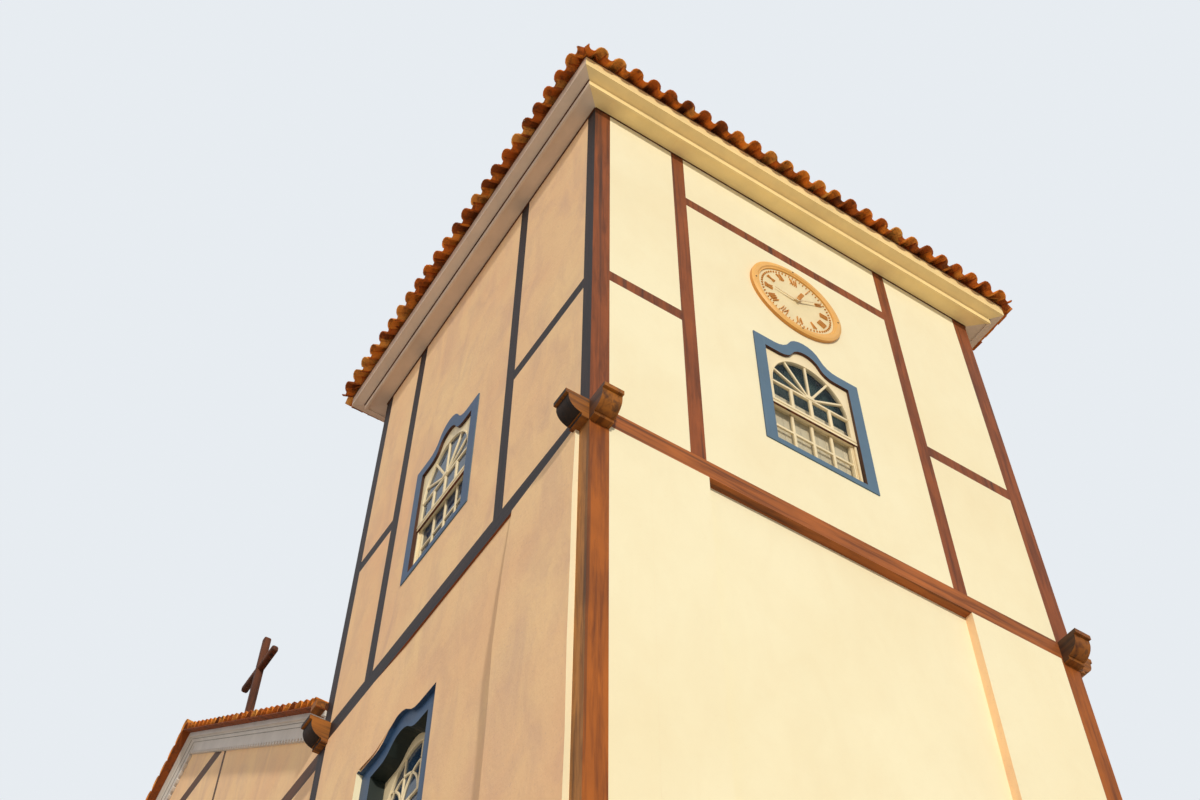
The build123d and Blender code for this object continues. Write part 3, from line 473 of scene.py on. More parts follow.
# %% Dress the frame
def dress(node_name, material):
    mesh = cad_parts[node_name].data
    mesh.materials.clear()
    mesh.materials.append(material)
    return mesh


def further_finish(mesh, material, chosen):
    """Give the faces that the test picks out a finish of their own."""
    mesh.materials.append(material)
    for face in mesh.polygons:
        if chosen(face):
            face.material_index = len(mesh.materials) - 1


def looks_front(limit):
    return lambda face: face.normal.y < limit


def stained(node_name, material, front_material):
    """Red-brown oil, with a nearly black painted shade where the timber looks to the front."""
    further_finish(dress(node_name, material), front_material, looks_front(-0.9))


def plastered(node_name):
    """Cream limewash all round; the brushed one, pinker with painted light, on what looks to the front."""
    further_finish(dress(node_name, side_plaster), front_plaster_painted_light, looks_front(-0.5))


def on_outer_corner(face):
    """The front face of a tower's outer corner post."""
    return face.normal.y < -0.9 and abs(face.center.x) > TOWER_OUTER - 0.2 and face.center.y < FRONT_Y + 0.05


def out_of_sun(face):
    """A cornice face that is not on the sunny side of its mitres."""
    place = face.center - Vector((math.copysign((TOWER_INNER + TOWER_OUTER) / 2, face.center.x),
                                  (FRONT_Y + REAR_Y) / 2, 0))
    return place.x - (TOWER_OUTER - TOWER_INNER) / 2 < abs(place.y) - (REAR_Y - FRONT_Y) / 2


for side in ("right", "left"):
    for part in ("front_wall", "outer_wall", "rear_wall", "inner_wall", "panels"):
        plastered(f"{side}_tower_{part}")
    stained(f"{side}_tower_corner_posts", timber_upright, front_upright_painted_shade)
    further_finish(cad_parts[f"{side}_tower_corner_posts"].data, corner_front_painted_shade_and_light, on_outer_corner)
    stained(f"{side}_tower_frame", timber_upright, front_upright_painted_shade)
    stained(f"{side}_tower_cross_beams", timber_across, front_across_painted_shade)
    # Front-looking faces of the side beams take the carved ends' painted shade.
    further_finish(dress(f"{side}_tower_side_beams", timber_along), carved_shade, looks_front(-0.2))
    # Faces on the sunny side keep the painted warm light, the rest take the painted shade.
    further_finish(dress(f"{side}_tower_cornice", cornice_with_painted_light), cornice_with_painted_shade, out_of_sun)
    dress(f"{side}_tower_roof", mortar_clay)
for name in ("nave_side_walls", "nave_rear_wall", "facade_walls", "facade_wall_over_door", "gable_wall"):
    plastered(name)
stained("gable_frame", timber_across, front_across_painted_shade)
# Front-looking frame faces take the blue with painted shade.
further_finish(dress("window_surrounds", blue_boards), blue_with_painted_shade, looks_front(-0.5))
further_finish(dress("window_glass", glass), front_glass_painted_reflection, looks_front(-0.5))
# The nave's eaves take the cornice paint with its painted warm light.
for name, material in (
        ("gable_cornice", gable_paint), ("nave_eaves", cornice_with_painted_light), ("nave_roof", mortar_clay),
        ("door_surround", blue_boards), ("main_door", door_paint), ("upper_sashes", cream_boards),
        ("lower_sashes", cream_boards), ("window_shutters", shutter_paint_and_painted_shade), ("ridge_cross", cross_wood),
        ("clock_dial", ring_paint), ("hour_hand", hand_paint), ("minute_hand", hand_paint),
        ("tower_floors", floor_boards), ("choir_floor", floor_boards)):
    dress(name, material)

# %% [markdown]
# Behind the front doors lies a floor of rough grey-brown stone slabs: flat
# cells with worn middles and sandy joints between them.

# %% Stone floor
stone = Finish("stone_floor", 0.8)
cells = stone.node("ShaderNodeTexVoronoi", feature="DISTANCE_TO_EDGE")
cells.inputs["Scale"].default_value = 1.6
stone.link(stone.place, cells.inputs["Vector"])
joint = stone.ramp(cells.outputs["Distance"], [(0.02, 0.0), (0.06, 1.0)])
slab = stone.mix(stone.noise(3, 5, 0.6), srgb(128, 116, 98), srgb(168, 156, 136))
stone.colour(stone.mix(joint, srgb(104, 90, 68), slab))
stone.bump(joint, 0.010, 0.7)
stone.bump(stone.noise(40, 4, 0.6), 0.002, 0.5)
dress("ground_floor", stone.material)

# %% [markdown]
# The roofs are laid with hand-made half-round tiles: troughs on their backs,
# caps over the gaps between them. A tile is wider at one end, so the wide end
# of a cap nests over the narrow end of the one below, and a trough does the
# opposite. One tile of each kind is half of a thin cone.

# %% One cap and one trough
TILE_PITCH = 0.234
TILE_LENGTH = 0.46
TILE_STEP = 0.40
TILE_WIDE = 0.080
TILE_NARROW = 0.062
TILE_CLAY = 0.013
DECK = 0.012
TROUGH_LEVEL = DECK + TILE_WIDE
CAP_LEVEL = TROUGH_LEVEL - 0.036


def half_tile(low_radius, high_radius, level, cap, thick=True, facets=12):
    """A tile lying along +Y from its lower mouth at the origin."""
    pick_nothing()
    bpy.ops.mesh.primitive_cone_add(vertices=facets, radius1=low_radius, radius2=high_radius,
                                    depth=TILE_LENGTH, end_fill_type="NOTHING",
                                    location=(0, TILE_LENGTH / 2, level), rotation=(-math.pi / 2, 0, 0))
    tile = settle(bpy.context.object)
    worked(tile, bpy.ops.mesh.bisect, plane_co=(0, 0, level), plane_no=(0, 0, 1), clear_inner=cap,
           clear_outer=not cap)
    bpy.ops.object.shade_smooth()
    if thick:
        finished(tile, "SOLIDIFY", thickness=TILE_CLAY, offset=-1)
    return tile


def burn_copy(tint, copy, faces_each):
    """One tile's own tint, from pale to burnt."""
    burn = random.random()
    for face in range(copy * faces_each, (copy + 1) * faces_each):
        tint[face].value = burn


def laid(tile, columns, rows, first_u=0.0, first_v=0.0, shift=0.010, turn=0.035):
    """Repeat a tile over a slope and let each copy sit and burn a little differently."""
    repeated(tile, rows, (0, TILE_STEP, 0))
    repeated(tile, columns, (TILE_PITCH, 0, 0))
    mesh = tile.data
    each = len(mesh.vertices) // (rows * columns)
    faces_each = len(mesh.polygons) // (rows * columns)
    tint = mesh.attributes.new("tint", "FLOAT", "FACE").data
    for copy in range(rows * columns):
        corner = mesh.vertices[copy * each].co.copy()
        sway = Matrix.Rotation(random.uniform(-turn, turn), 3, "Z")
        aside = random.uniform(-shift, shift) * 0.5
        drift = Vector((first_u + aside, first_v + random.uniform(0, shift), 0))
        for vertex in mesh.vertices[copy * each:(copy + 1) * each]:
            vertex.co = corner + sway @ (vertex.co - corner) + drift
        burn_copy(tint, copy, faces_each)
    return tile


# %% [markdown]
# A slope is drawn flat first: u along the eave, v up the slope, w off the
# boards. Troughs and caps are laid on a thin bed of boards and mortar, then
# the whole is stood on its slope and trimmed where it meets a hip, a verge or
# a tower. Cutting planes are upright in the world, as a tiler's chalk line is.

# %% A tiled slope
def slope_matrix(origin, outward, slope):
    out = Vector(outward)
    along = Vector((0, 0, 1)).cross(out)
    up_slope = (Vector((0, 0, slope)) - out).normalized()
    turn = Matrix((along, up_slope, along.cross(up_slope))).transposed()
    return Matrix.Translation(origin) @ turn.to_4x4()


def trim(piece, point, keep_towards):
    """Cut a piece by a plane and keep what lies towards the given direction."""
    return worked(piece, bpy.ops.mesh.bisect, plane_co=point, plane_no=keep_towards, clear_inner=True)


def tile_bed(name, width, start, end):
    bed = block((0, (start + end) / 2, DECK / 2), (width, end - start, DECK))
    bed.data.materials.append(eave_boards)
    bed.name = name
    return bed


def tiled_slope(name, width, length, matrix, bed_start, cuts, first_row=0.0):
    columns = round(width / TILE_PITCH)
    rows = math.ceil((length - first_row) / TILE_STEP) + 1
    left = -(columns - 1) / 2 * TILE_PITCH
    trough = half_tile(TILE_NARROW, TILE_WIDE, TROUGH_LEVEL, False, thick=False)
    troughs = laid(trough, columns, rows, left, first_row)
    eave = laid(half_tile(TILE_NARROW, TILE_WIDE, TROUGH_LEVEL, False), columns, 1, left, first_row)
    caps = laid(half_tile(TILE_WIDE, TILE_NARROW, CAP_LEVEL, True), columns - 1, rows,
                left + TILE_PITCH / 2, first_row - 0.012)
    for part in (troughs, eave, caps):
        part.data.materials.append(tile_clay)
    slope = joined([troughs, eave, caps, tile_bed(name, width, bed_start, length)], name)
    stand_on(slope, matrix)
    for point, keep_towards in cuts:
        trim(slope, point, keep_towards)
    return slope


# %% [markdown]
# Hips and ridges are covered by one line of larger caps bedded in mortar. Each
# overlaps the one below it, so they climb in small steps.

# %% Hip and ridge caps
RIDGE_WIDE = 0.115
RIDGE_NARROW = 0.092


def cap_line(name, start, end):
    """Overlapping caps along a line, from its low end to its high end."""
    start, end = Vector(start), Vector(end)
    run = end - start
    count = max(1, round((run.length - TILE_LENGTH) / TILE_STEP) + 1)
    cap = half_tile(RIDGE_WIDE, RIDGE_NARROW, 0, True, facets=16)
    step = (run.length - TILE_LENGTH) / max(1, count - 1)
    repeated(cap, count, (0, step, 0))
    mesh = cap.data
    tint = mesh.attributes.new("tint", "FLOAT", "FACE").data
    faces_each = len(mesh.polygons) // count
    for copy in range(count):
        burn_copy(tint, copy, faces_each)
    mesh.materials.append(tile_clay)
    cap.name = name
    forward_axis = run.normalized()
    side_axis = forward_axis.cross(Vector((0, 0, 1))).normalized()
    turn = Matrix((side_axis, forward_axis, side_axis.cross(forward_axis))).transposed()
    return stand_on(cap, Matrix.Translation(start) @ turn.to_4x4())


# %% [markdown]
# Each tower's roof is a low hipped one of four slopes. All four start at the
# same eave line, a hand beyond the boxed cornice, and meet over the middle.

# %% Tower roofs
EAVE_REACH = 0.452
CORNICE_REACH = 0.352
TOWER_ROOF_RISE = 1.9
HIP_FOOT_BACK = 0.112
HIP_FOOT_UP = 0.100
HIP_TOP_UP = 0.055
half_width = (TOWER_OUTER - TOWER_INNER) / 2
half_depth = (REAR_Y - FRONT_Y) / 2


def tower_roof(side_name, centre_x):
    centre = Vector((centre_x, (FRONT_Y + REAR_Y) / 2, WALL_TOP + TOWER_ROOF_RISE))
    corner_x, corner_y = half_width + EAVE_REACH, half_depth + EAVE_REACH
    slopes = []
    for name, outward, reach, across_half, depth_half in (
            ("front", Vector((0, -1, 0)), corner_y, corner_x, half_depth),
            ("rear", Vector((0, 1, 0)), corner_y, corner_x, half_depth),
            ("east", Vector((1, 0, 0)), corner_x, corner_y, half_width),
            ("west", Vector((-1, 0, 0)), corner_x, corner_y, half_width)):
        slope = TOWER_ROOF_RISE / (depth_half + CORNICE_REACH)
        tip = centre + outward * reach - Vector((0, 0, slope * reach))
        along = Vector((0, 0, 1)).cross(outward)
        cuts = []
        for end in (1, -1):
            towards = -along * end + outward * across_half / reach
            cuts.append((centre, towards.normalized()))
        length = reach * math.sqrt(1 + slope * slope)
        bed_start = (EAVE_REACH - CORNICE_REACH) * math.sqrt(1 + slope * slope)
        slopes.append(tiled_slope(f"{side_name}_{name}", 2 * across_half, length,
                                  slope_matrix(tip, outward, slope), bed_start, cuts))
    for hip_x in (1, -1):
        for hip_y in (1, -1):
            foot_drop = TOWER_ROOF_RISE * corner_x / (half_width + CORNICE_REACH)
            foot = centre + Vector((hip_x * (corner_x - HIP_FOOT_BACK), hip_y * (corner_y - HIP_FOOT_BACK),
                                    HIP_FOOT_UP - foot_drop))
            slopes.append(cap_line("hip", foot, centre + Vector((0, 0, HIP_TOP_UP))))
    roof = joined(slopes, f"{side_name}_tower_tiles")
    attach(roof, "church")
    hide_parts(f"{side_name}_tower_roof")
    print(roof.name, "triangles", triangles(roof), "top", round(max(v.co.z for v in roof.data.vertices), 3))


tower_roof("right", (TOWER_INNER + TOWER_OUTER) / 2)
tower_roof("left", -(TOWER_INNER + TOWER_OUTER) / 2)

# %% [markdown]
# The nave's roof has two long slopes. Between the towers they stop against
# the towers' walls; behind them they run on over the side walls to eaves of
# their own. At the gables the last tiles lie crosswise, their open mouths
# looking out over the raking cornice.

# %% Nave roof
NAVE_TIP = ROOF_HIGH.x - 0.008
VERGE_TILE = 0.42
VERGE_RADIUS = TILE_PITCH / 2 - 0.002
VERGE_SQUASH = 0.80
VERGE_LIP = 0.010
EAVE_BARE = 0.12
FILLET_RISE = 4.2
END_BOX = 0.125
WALL_GAP = 0.004
pitch_factor = math.sqrt(1 + ROOF_SLOPE * ROOF_SLOPE)
front_verge, rear_verge = ROOF_LOW.y, ROOF_HIGH.y


def nave_height(x):
    return RIDGE_UNDERSIDE - ROOF_SLOPE * abs(x)


def slope_axes(side):
    """Down a slope of the nave, and square off it."""
    return Vector((side, 0, -ROOF_SLOPE)).normalized(), Vector((side * ROOF_SLOPE, 0, 1)).normalized()


def verge_tiles(side, station, looks, end_x):
    """Low caps lying crosswise on a slope's edge, mouths outward, from the ridge to the eave."""
    count = round((end_x - 0.02) * pitch_factor / TILE_PITCH)
    cap = half_tile(VERGE_RADIUS, VERGE_RADIUS - 0.012, 0, True)
    cap.scale = (1, 1, VERGE_SQUASH)
    cap.location = (0, 0, DECK)
    row = laid(settle(cap), count, 1, TILE_PITCH / 2, 0, 0.004, 0.01)
    row.data.materials.append(tile_clay)
    down_slope, normal = slope_axes(side)
    turn = Matrix((down_slope, Vector((0, -looks, 0)), normal)).transposed()
    return stand_turned(row, (0, station - VERGE_LIP * looks, RIDGE_UNDERSIDE), turn)


def verge_bed(side, station, looks, end_x):
    """Boards under the verge tiles, with a thicker fillet of mortar behind their mouths."""
    bed = tile_bed("verge_bed", end_x * 2, 0.0, VERGE_TILE)
    bed.data.materials[0] = tile_clay
    fillet = tile_bed("mortar_fillet", end_x * 2, 0.10, VERGE_TILE)
    fillet.location = (0, 0, DECK)
    fillet.scale = (1, 1, FILLET_RISE)
    bed = joined([bed, settle(fillet)], "verge_bed")
    down_slope, normal = slope_axes(side)
    turn = Matrix((down_slope * pitch_factor / 2, Vector((0, -looks, 0)), normal)).transposed()
    middle = Vector((side * end_x / 2, station - looks * 0.014, nave_height(end_x / 2)))
    stand_on(bed, Matrix.Translation(middle) @ turn.to_4x4())
    return worked(bed, bpy.ops.mesh.normals_make_consistent, inside=False)


def nave_slope(name, side):
    outward = Vector((side, 0, 0))
    tip = Vector((side * NAVE_TIP, 0, nave_height(NAVE_TIP)))
    length = NAVE_TIP * pitch_factor
    behind_middle = (REAR_Y + rear_verge - VERGE_TILE) / 2
    behind_width = rear_verge - VERGE_TILE - REAR_Y
    behind_place = slope_matrix(tip + Vector((0, behind_middle, 0)), outward, ROOF_SLOPE)
    behind = tiled_slope(f"{name}_behind", behind_width, length, behind_place, EAVE_BARE, [])
    rows_skipped = math.floor((NAVE_TIP - TOWER_INNER) * pitch_factor / TILE_STEP) * TILE_STEP
    between_width = REAR_Y - front_verge - VERGE_TILE
    between_middle = (REAR_Y + front_verge + VERGE_TILE) / 2
    between_place = slope_matrix(tip + Vector((0, between_middle, 0)), outward, ROOF_SLOPE)
    tower_cut = Vector((side * (TOWER_INNER - WALL_GAP), 0, 0))
    between = tiled_slope(f"{name}_between", between_width, length, between_place, rows_skipped,
                          [(tower_cut, -outward)], rows_skipped)
    ridge_cut = Vector((side * WALL_GAP, 0, 0))
    for part in (behind, between):
        trim(part, ridge_cut, outward)
    parts = [behind, between, verge_tiles(side, front_verge, -1, TOWER_INNER - END_BOX),
             verge_tiles(side, rear_verge, 1, NAVE_TIP),
             verge_bed(side, front_verge, -1, TOWER_INNER - WALL_GAP),
             verge_bed(side, rear_verge, 1, NAVE_TIP - 0.10)]
    slope = joined(parts, f"nave_tiles_{name}")
    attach(slope, "church")
    print(slope.name, "triangles", triangles(slope))
    return slope


right_slope = nave_slope("right", 1)
nave_slope("left", -1)
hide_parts("nave_roof")
RIDGE_AXIS = RIDGE_UNDERSIDE + 0.060
ridge = cap_line("nave_ridge_caps", (0, front_verge + 0.015, RIDGE_AXIS),
                 (0, rear_verge - 0.015, RIDGE_AXIS))
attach(ridge, "church")

# %% [markdown]
# Twenty windows share one pattern: a fixed upper sash with a fanlight and a
# sliding lower sash behind it. Each is listed once with the wall it stands in,
# and its bars are drawn flat, u to the right and v up from the frame's foot.

# %% Where the windows are
UPPER_FOOT = BEAM_TOP + 0.838
LOWER_FOOT = BEAM_TOP - 2.975
FACE_X = TOWER_INNER + 2.102
FACE_Y = FRONT_Y + 2.564
upper_windows = []
lower_windows = []
for side in (1, -1):
    for x, y, outward in ((TOWER_OUTER, FACE_Y, (side, 0, 0)), (TOWER_INNER, FACE_Y, (-side, 0, 0)),
                          (FACE_X, FRONT_Y, (0, -1, 0)), (FACE_X, REAR_Y, (0, 1, 0))):
        upper_windows.append(wall_matrix(side * x, y, outward, UPPER_FOOT))
    for x, y, outward in ((TOWER_OUTER - 3.115, FRONT_Y + 0.02, (0, -1, 0)), (2.5, GABLE_Y, (0, -1, 0)),
                          (2.5, NAVE_REAR_Y, (0, 1, 0))):
        lower_windows.append(wall_matrix(side * x, y, outward, LOWER_FOOT))
    for station in (8.6, 13.2, 17.8):
        lower_windows.append(wall_matrix(side * NAVE_OUTER, FRONT_Y + station, (side, 0, 0), LOWER_FOOT))
print("windows", len(upper_windows), "upper", len(lower_windows), "lower")

# %% [markdown]
# Glazing bars are slim, with rounded fronts. A straight bar is a block laid
# between two points; a curved one is a slice of an upright tube, scaled to the
# fanlight's ellipse and cut at its springing.

# %% Straight and curved bars
HALF_LIGHT = 0.465
FAN_BASE = 1.062
FAN_HEIGHT = 0.545
MEETING_FOOT, MEETING_TOP = 0.682, 0.762
LIGHT_FOOT = 0.13
BAR = 0.030
CURVED_BAR = 0.024
THIRDS = (-0.236, 0, 0.236)
CROSSBAR = 0.405
RAIL_HALF = 0.52
ARCH_LAP = 0.014
RAY_ANGLES = (28, 59, 90, 121, 152)
HUB_RADIUS = 0.062
UPPER_SETBACK = -0.020
LOWER_SETBACK = -0.190


def bar(start, end, width, near, far):
    """A block from start to end in the wall's flat, between two distances off the wall."""
    (u0, v0), (u1, v1) = start, end
    return block(((u0 + u1) / 2, (v0 + v1) / 2, (near + far) / 2),
                 (math.hypot(u1 - u0, v1 - v0), width, far - near), math.atan2(v1 - v0, u1 - u0))


def bow(centre, radius_u, radius_v, width, near, far, facets=48):
    """A curved bar: the upper half of an elliptical tube standing off the wall."""
    pick_nothing()
    bpy.ops.mesh.primitive_cylinder_add(vertices=facets, radius=1, depth=far - near, end_fill_type="NOTHING",
                                        location=(*centre, (near + far) / 2), scale=(radius_u, radius_v, 1))
    tube = trim(settle(bpy.context.object), (*centre, 0), (0, 1, 0))
    return finished(tube, "SOLIDIFY", thickness=width, offset=-1)


# %% [markdown]
# The sliding sash has three uprights and one crossbar, eight panes in all. The upper sash carries a meeting
# rail with a thin brown strip under it, its brown underside with painted shade of the gap below, a row of
# four lights and the fan: five rays from a half-round hub.

# %% The two sashes
def lower_sash_bars(setback):
    near, far = setback - 0.070, setback - 0.044
    bars = [bar((u, LIGHT_FOOT), (u, MEETING_FOOT + 0.02), BAR, near, far) for u in THIRDS]
    bars.append(bar((-HALF_LIGHT, CROSSBAR), (HALF_LIGHT, CROSSBAR), BAR, near + 0.002, far - 0.002))
    return bars


def row_and_rail(setback):
    near, far = setback - 0.032, setback - 0.004
    bars = [bar((u, MEETING_TOP - 0.01), (u, FAN_BASE), BAR + 0.006, near, far) for u in THIRDS]
    bars.append(bar((-HALF_LIGHT, FAN_BASE), (HALF_LIGHT, FAN_BASE), BAR, near, far + 0.002))
    rail = MEETING_FOOT + 0.056
    bars.append(bar((-RAIL_HALF, rail), (RAIL_HALF, rail), 0.034, setback - 0.02, setback + 0.009))
    bars.append(bow((0, FAN_BASE), HALF_LIGHT + ARCH_LAP, FAN_HEIGHT + ARCH_LAP, 0.018,
                    setback - 0.03, setback + 0.006, 64))
    return bars


def fan_bars(setback):
    near, far = setback - 0.032, setback - 0.004
    rays = []
    for degrees in RAY_ANGLES:
        angle = math.radians(degrees)
        reach = 1 / math.sqrt((math.cos(angle) / HALF_LIGHT) ** 2 + (math.sin(angle) / FAN_HEIGHT) ** 2)
        tip = (reach * math.cos(angle), FAN_BASE + reach * math.sin(angle))
        rays.append(bar((0, FAN_BASE), tip, 0.026, near, far))
    pick_nothing()
    bpy.ops.mesh.primitive_cylinder_add(vertices=32, radius=HUB_RADIUS, depth=far - near + 0.010,
                                        location=(0, FAN_BASE, (near + far) / 2 + 0.005))
    hub = worked(settle(bpy.context.object), bpy.ops.mesh.bisect, plane_co=(0, FAN_BASE, 0),
                 plane_no=(0, 1, 0), clear_inner=True, use_fill=True)
    return rays + [hub]


def tracery_bars(setback):
    """Interlaced round arches with straight bars through them, as in the lower windows."""
    near, far = setback - 0.032, setback - 0.006
    third = HALF_LIGHT / 1.5
    bars = [bow((u, FAN_BASE), third, third * 1.08, CURVED_BAR, near, far, 40)
            for u in (-third / 2, third / 2)]
    for u in (-third / 2, third / 2):
        top = FAN_BASE + FAN_HEIGHT * math.sqrt(1 - (u / HALF_LIGHT) ** 2)
        bars.append(bar((u, FAN_BASE), (u, top), CURVED_BAR, near, far))
    for u in (-HALF_LIGHT, HALF_LIGHT):
        half = bow((u, FAN_BASE), third, third * 1.08, CURVED_BAR, near, far, 40)
        bars.append(trim(half, (u, 0, 0), (-u, 0, 0)))
    return bars


# %% [markdown]
# One complete set of bars is made for each kind of window, its edges eased
# with a small bevel, and copies are stood in every opening of that kind.

# %% Stand the bars in their openings
def window_set(name, bars, places, material, ease=0.004):
    pattern = joined(bars, name)
    finished(pattern, "BEVEL", width=ease, segments=2, limit_method="ANGLE", angle_limit=math.radians(40))
    bpy.ops.object.shade_smooth_by_angle(angle=math.radians(35))
    copies = [twin(pattern) for place in places[1:]]
    for copy, place in zip([pattern] + copies, places):
        stand_on(copy, place)
    whole = joined([pattern] + copies, name)
    whole.data.materials.clear()
    whole.data.materials.append(material)
    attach(whole, "church")
    print(name, "triangles", triangles(whole))


for name, head_bars, setback, places in (("upper_window_bars", fan_bars, UPPER_SETBACK, upper_windows),
                                         ("lower_window_bars", tracery_bars, LOWER_SETBACK, lower_windows)):
    bars = lower_sash_bars(setback) + row_and_rail(setback) + head_bars(setback)
    window_set(name, bars, places, cream_boards)

# %% [markdown]
# The upper windows are shuttered inside with upright boards, planed and
# painted; their open joints show through the glass. Slim parting beads beside
# the lower sash are the track it slides in.

# %% Shutter boards and sash tracks
BOARD = 0.103
BOARD_FOOT, BOARD_TOP = 0.080, 1.560
BELL_REACH, BELL_RISE = 0.30, 0.19
TRACK_FOOT = 0.072


def shutter_boards():
    boards = []
    for number in range(10):
        u = (number - 4.5) * (BOARD + 0.001)
        top = BOARD_TOP if abs(u) > BELL_REACH else BOARD_TOP + BELL_RISE * (1 - abs(u) / BELL_REACH)
        boards.append(bar((u, BOARD_FOOT), (u, top), BOARD - 0.0015, -0.129, -0.120))
    return boards


def sash_tracks():
    tracks = []
    for side in (1, -1):
        for reach, width, front in ((0.508, 0.022, -0.030), (0.482, 0.008, -0.050)):
            tracks.append(bar((side * reach, TRACK_FOOT), (side * reach, MEETING_FOOT), width, -0.058, front))
    return tracks


def rail_shade_strip(setback):
    """A thin brown strip under the meeting rail: its brown underside, with painted shade of the gap beneath
    it.
    """
    level = MEETING_FOOT - 0.003
    return [bar((-0.522, level), (0.522, level), 0.008, setback - 0.018, setback + 0.004)]


# Brown of the rail's underside, with painted shade of the gap under it.
rail_brown_and_painted_shade = timber("rail_brown_and_painted_shade", "x", srgb(70, 38, 24), srgb(128, 74, 46), 0.6)
window_set("upper_rail_shade_strips", rail_shade_strip(UPPER_SETBACK), upper_windows, rail_brown_and_painted_shade)
window_set("lower_rail_shade_strips", rail_shade_strip(LOWER_SETBACK), lower_windows, rail_brown_and_painted_shade)
# The boards take the shutters' cream, with its dark green painted shade above the fanlight's foot.
window_set("shutter_boards", shutter_boards(), upper_windows, shutter_paint_and_painted_shade, 0.002)
window_set("sash_tracks", sash_tracks(), upper_windows, cream_boards, 0.002)

# %% [markdown]
# Only the boards' faces are painted blue. The reveals behind them are dark: brown oil on the upper frames,
# and on the deep ones a near-black green that is painted shade of the deep reveal. Each reveal face is known
# because it looks towards its window's middle.

# %% Dark reveals
reveal_brown = timber("reveal_brown", "z", srgb(48, 28, 20), srgb(86, 52, 36), 0.6)
# Near-black green: painted shade in the deep reveals.
reveal_painted_shade = painted("reveal_painted_shade", srgb(20, 34, 32), srgb(32, 28, 24), 0.6)
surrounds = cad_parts["window_surrounds"].data
surrounds.materials.append(reveal_brown)
surrounds.materials.append(reveal_painted_shade)
BROWN_SLOT, SHADE_SLOT = len(surrounds.materials) - 2, len(surrounds.materials) - 1
middles = [(place @ Vector((0, 0.85, 0)), place.to_3x3() @ Vector((0, 0, 1)))
           for place in upper_windows + lower_windows]
for face in surrounds.polygons:
    middle, outward = min(middles, key=lambda pair: (pair[0] - face.center).length)
    towards = middle - face.center
    towards -= outward * towards.dot(outward)
    if abs(face.normal.dot(outward)) < 0.5 and face.normal.dot(towards) > 0:
        face.material_index = BROWN_SLOT if middle.z > BEAM_TOP else SHADE_SLOT

# %% [markdown]
# The head of a lower window's frame stands almost flush with the plaster, and its blue paint runs on over the
# narrow underside of the wall's opening, in the darker blue of painted shade.

# %% Undersides of the wall openings
def over_lower_window(face):
    return LOWER_FOOT + 1.2 < face.center.z < LOWER_FOOT + 2.1 and face.normal.z < -0.3


for name in ("right_tower_front_wall", "left_tower_front_wall", "facade_walls", "nave_side_walls",
             "nave_rear_wall"):
    further_finish(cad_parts[name].data, blue_with_painted_shade, over_lower_window)

# %% [markdown]
# The clock on the right tower is a round board with a raised, stepped rim. Its
# face is cream, its rim, figures and minute pegs a warm gold. The solid is one
# piece, so its faces are told apart by their distance from the axis.

# %% Rim and face
clock_low, clock_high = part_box("clock_dial")
CLOCK_Y, CLOCK_Z = (clock_low.y + clock_high.y) / 2, (clock_low.z + clock_high.z) / 2
clock_place = wall_matrix(clock_low.x, CLOCK_Y, (1, 0, 0), CLOCK_Z)
DIAL_FACE = 0.018
FACE_RADIUS = 0.4995
RIM_RADIUS = 0.595


def off_axis(face):
    return math.hypot(face.center.y - CLOCK_Y, face.center.z - CLOCK_Z)


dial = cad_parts["clock_dial"].data
further_finish(dial, dial_paint,
               lambda face: off_axis(face) < FACE_RADIUS and face.center.x > clock_low.x + 0.01)
# The rim's outer sides take the darker gold of the figures, as painted shade of the rim's edge.
further_finish(dial, figure_paint_and_rim_shade,
               lambda face: off_axis(face) > RIM_RADIUS and abs(face.normal.x) < 0.1)

# %% [markdown]
# The figures are Roman and stand radially, their feet to the middle, with four
# strokes for the fourth hour as clockmakers write it. Each figure is a row of
# strokes: an upright, a leaning pair, or a crossed pair.

# %% Hour figures
FIGURE_RADIUS = 0.368
FIGURE_HEIGHT = 0.104
STROKE = 0.010
THIN_STROKE = 0.006
FIGURES = ["XII", "I", "II", "III", "IIII", "V", "VI", "VII", "VIII", "IX", "X", "XI"]
STROKE_WIDTHS = {"I": 0.025, "V": 0.054, "X": 0.054}


def figure_strokes(figure):
    left = -sum(STROKE_WIDTHS[letter] for letter in figure) / 2
    low, high = -FIGURE_HEIGHT / 2, FIGURE_HEIGHT / 2
    strokes = []
    for letter in figure:
        width = STROKE_WIDTHS[letter]
        middle = left + width / 2
        lean = width * 0.34
        if letter == "I":
            pairs = [((middle, low), (middle, high), STROKE)]
        elif letter == "V":
            pairs = [((middle - lean, high), (middle, low), STROKE),
                     ((middle + lean, high), (middle, low), THIN_STROKE)]
        else:
            pairs = [((middle - lean, high), (middle + lean, low), STROKE),
                     ((middle + lean, high), (middle - lean, low), THIN_STROKE)]
        strokes += [bar(start, end, thick, DIAL_FACE, DIAL_FACE + 0.016) for start, end, thick in pairs]
        left += width
    return strokes


figures = []
for hour, figure in enumerate(FIGURES):
    word = joined(figure_strokes(figure), "figure")
    angle = math.radians(30 * hour)
    stand_on(word, Matrix.Rotation(-angle, 4, "Z") @ Matrix.Translation((0, FIGURE_RADIUS, 0)))
    figures.append(word)
hour_figures = joined(figures, "hour_figures")
finished(hour_figures, "BEVEL", width=0.002, segments=1)
hour_figures.data.materials.append(figure_paint_and_rim_shade)
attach(stand_on(hour_figures, clock_place), "church")

# %% [markdown]
# Sixty turned pegs mark the minutes, each drawn out a little towards the
# axis. One peg is made at the top of the dial and copied round.

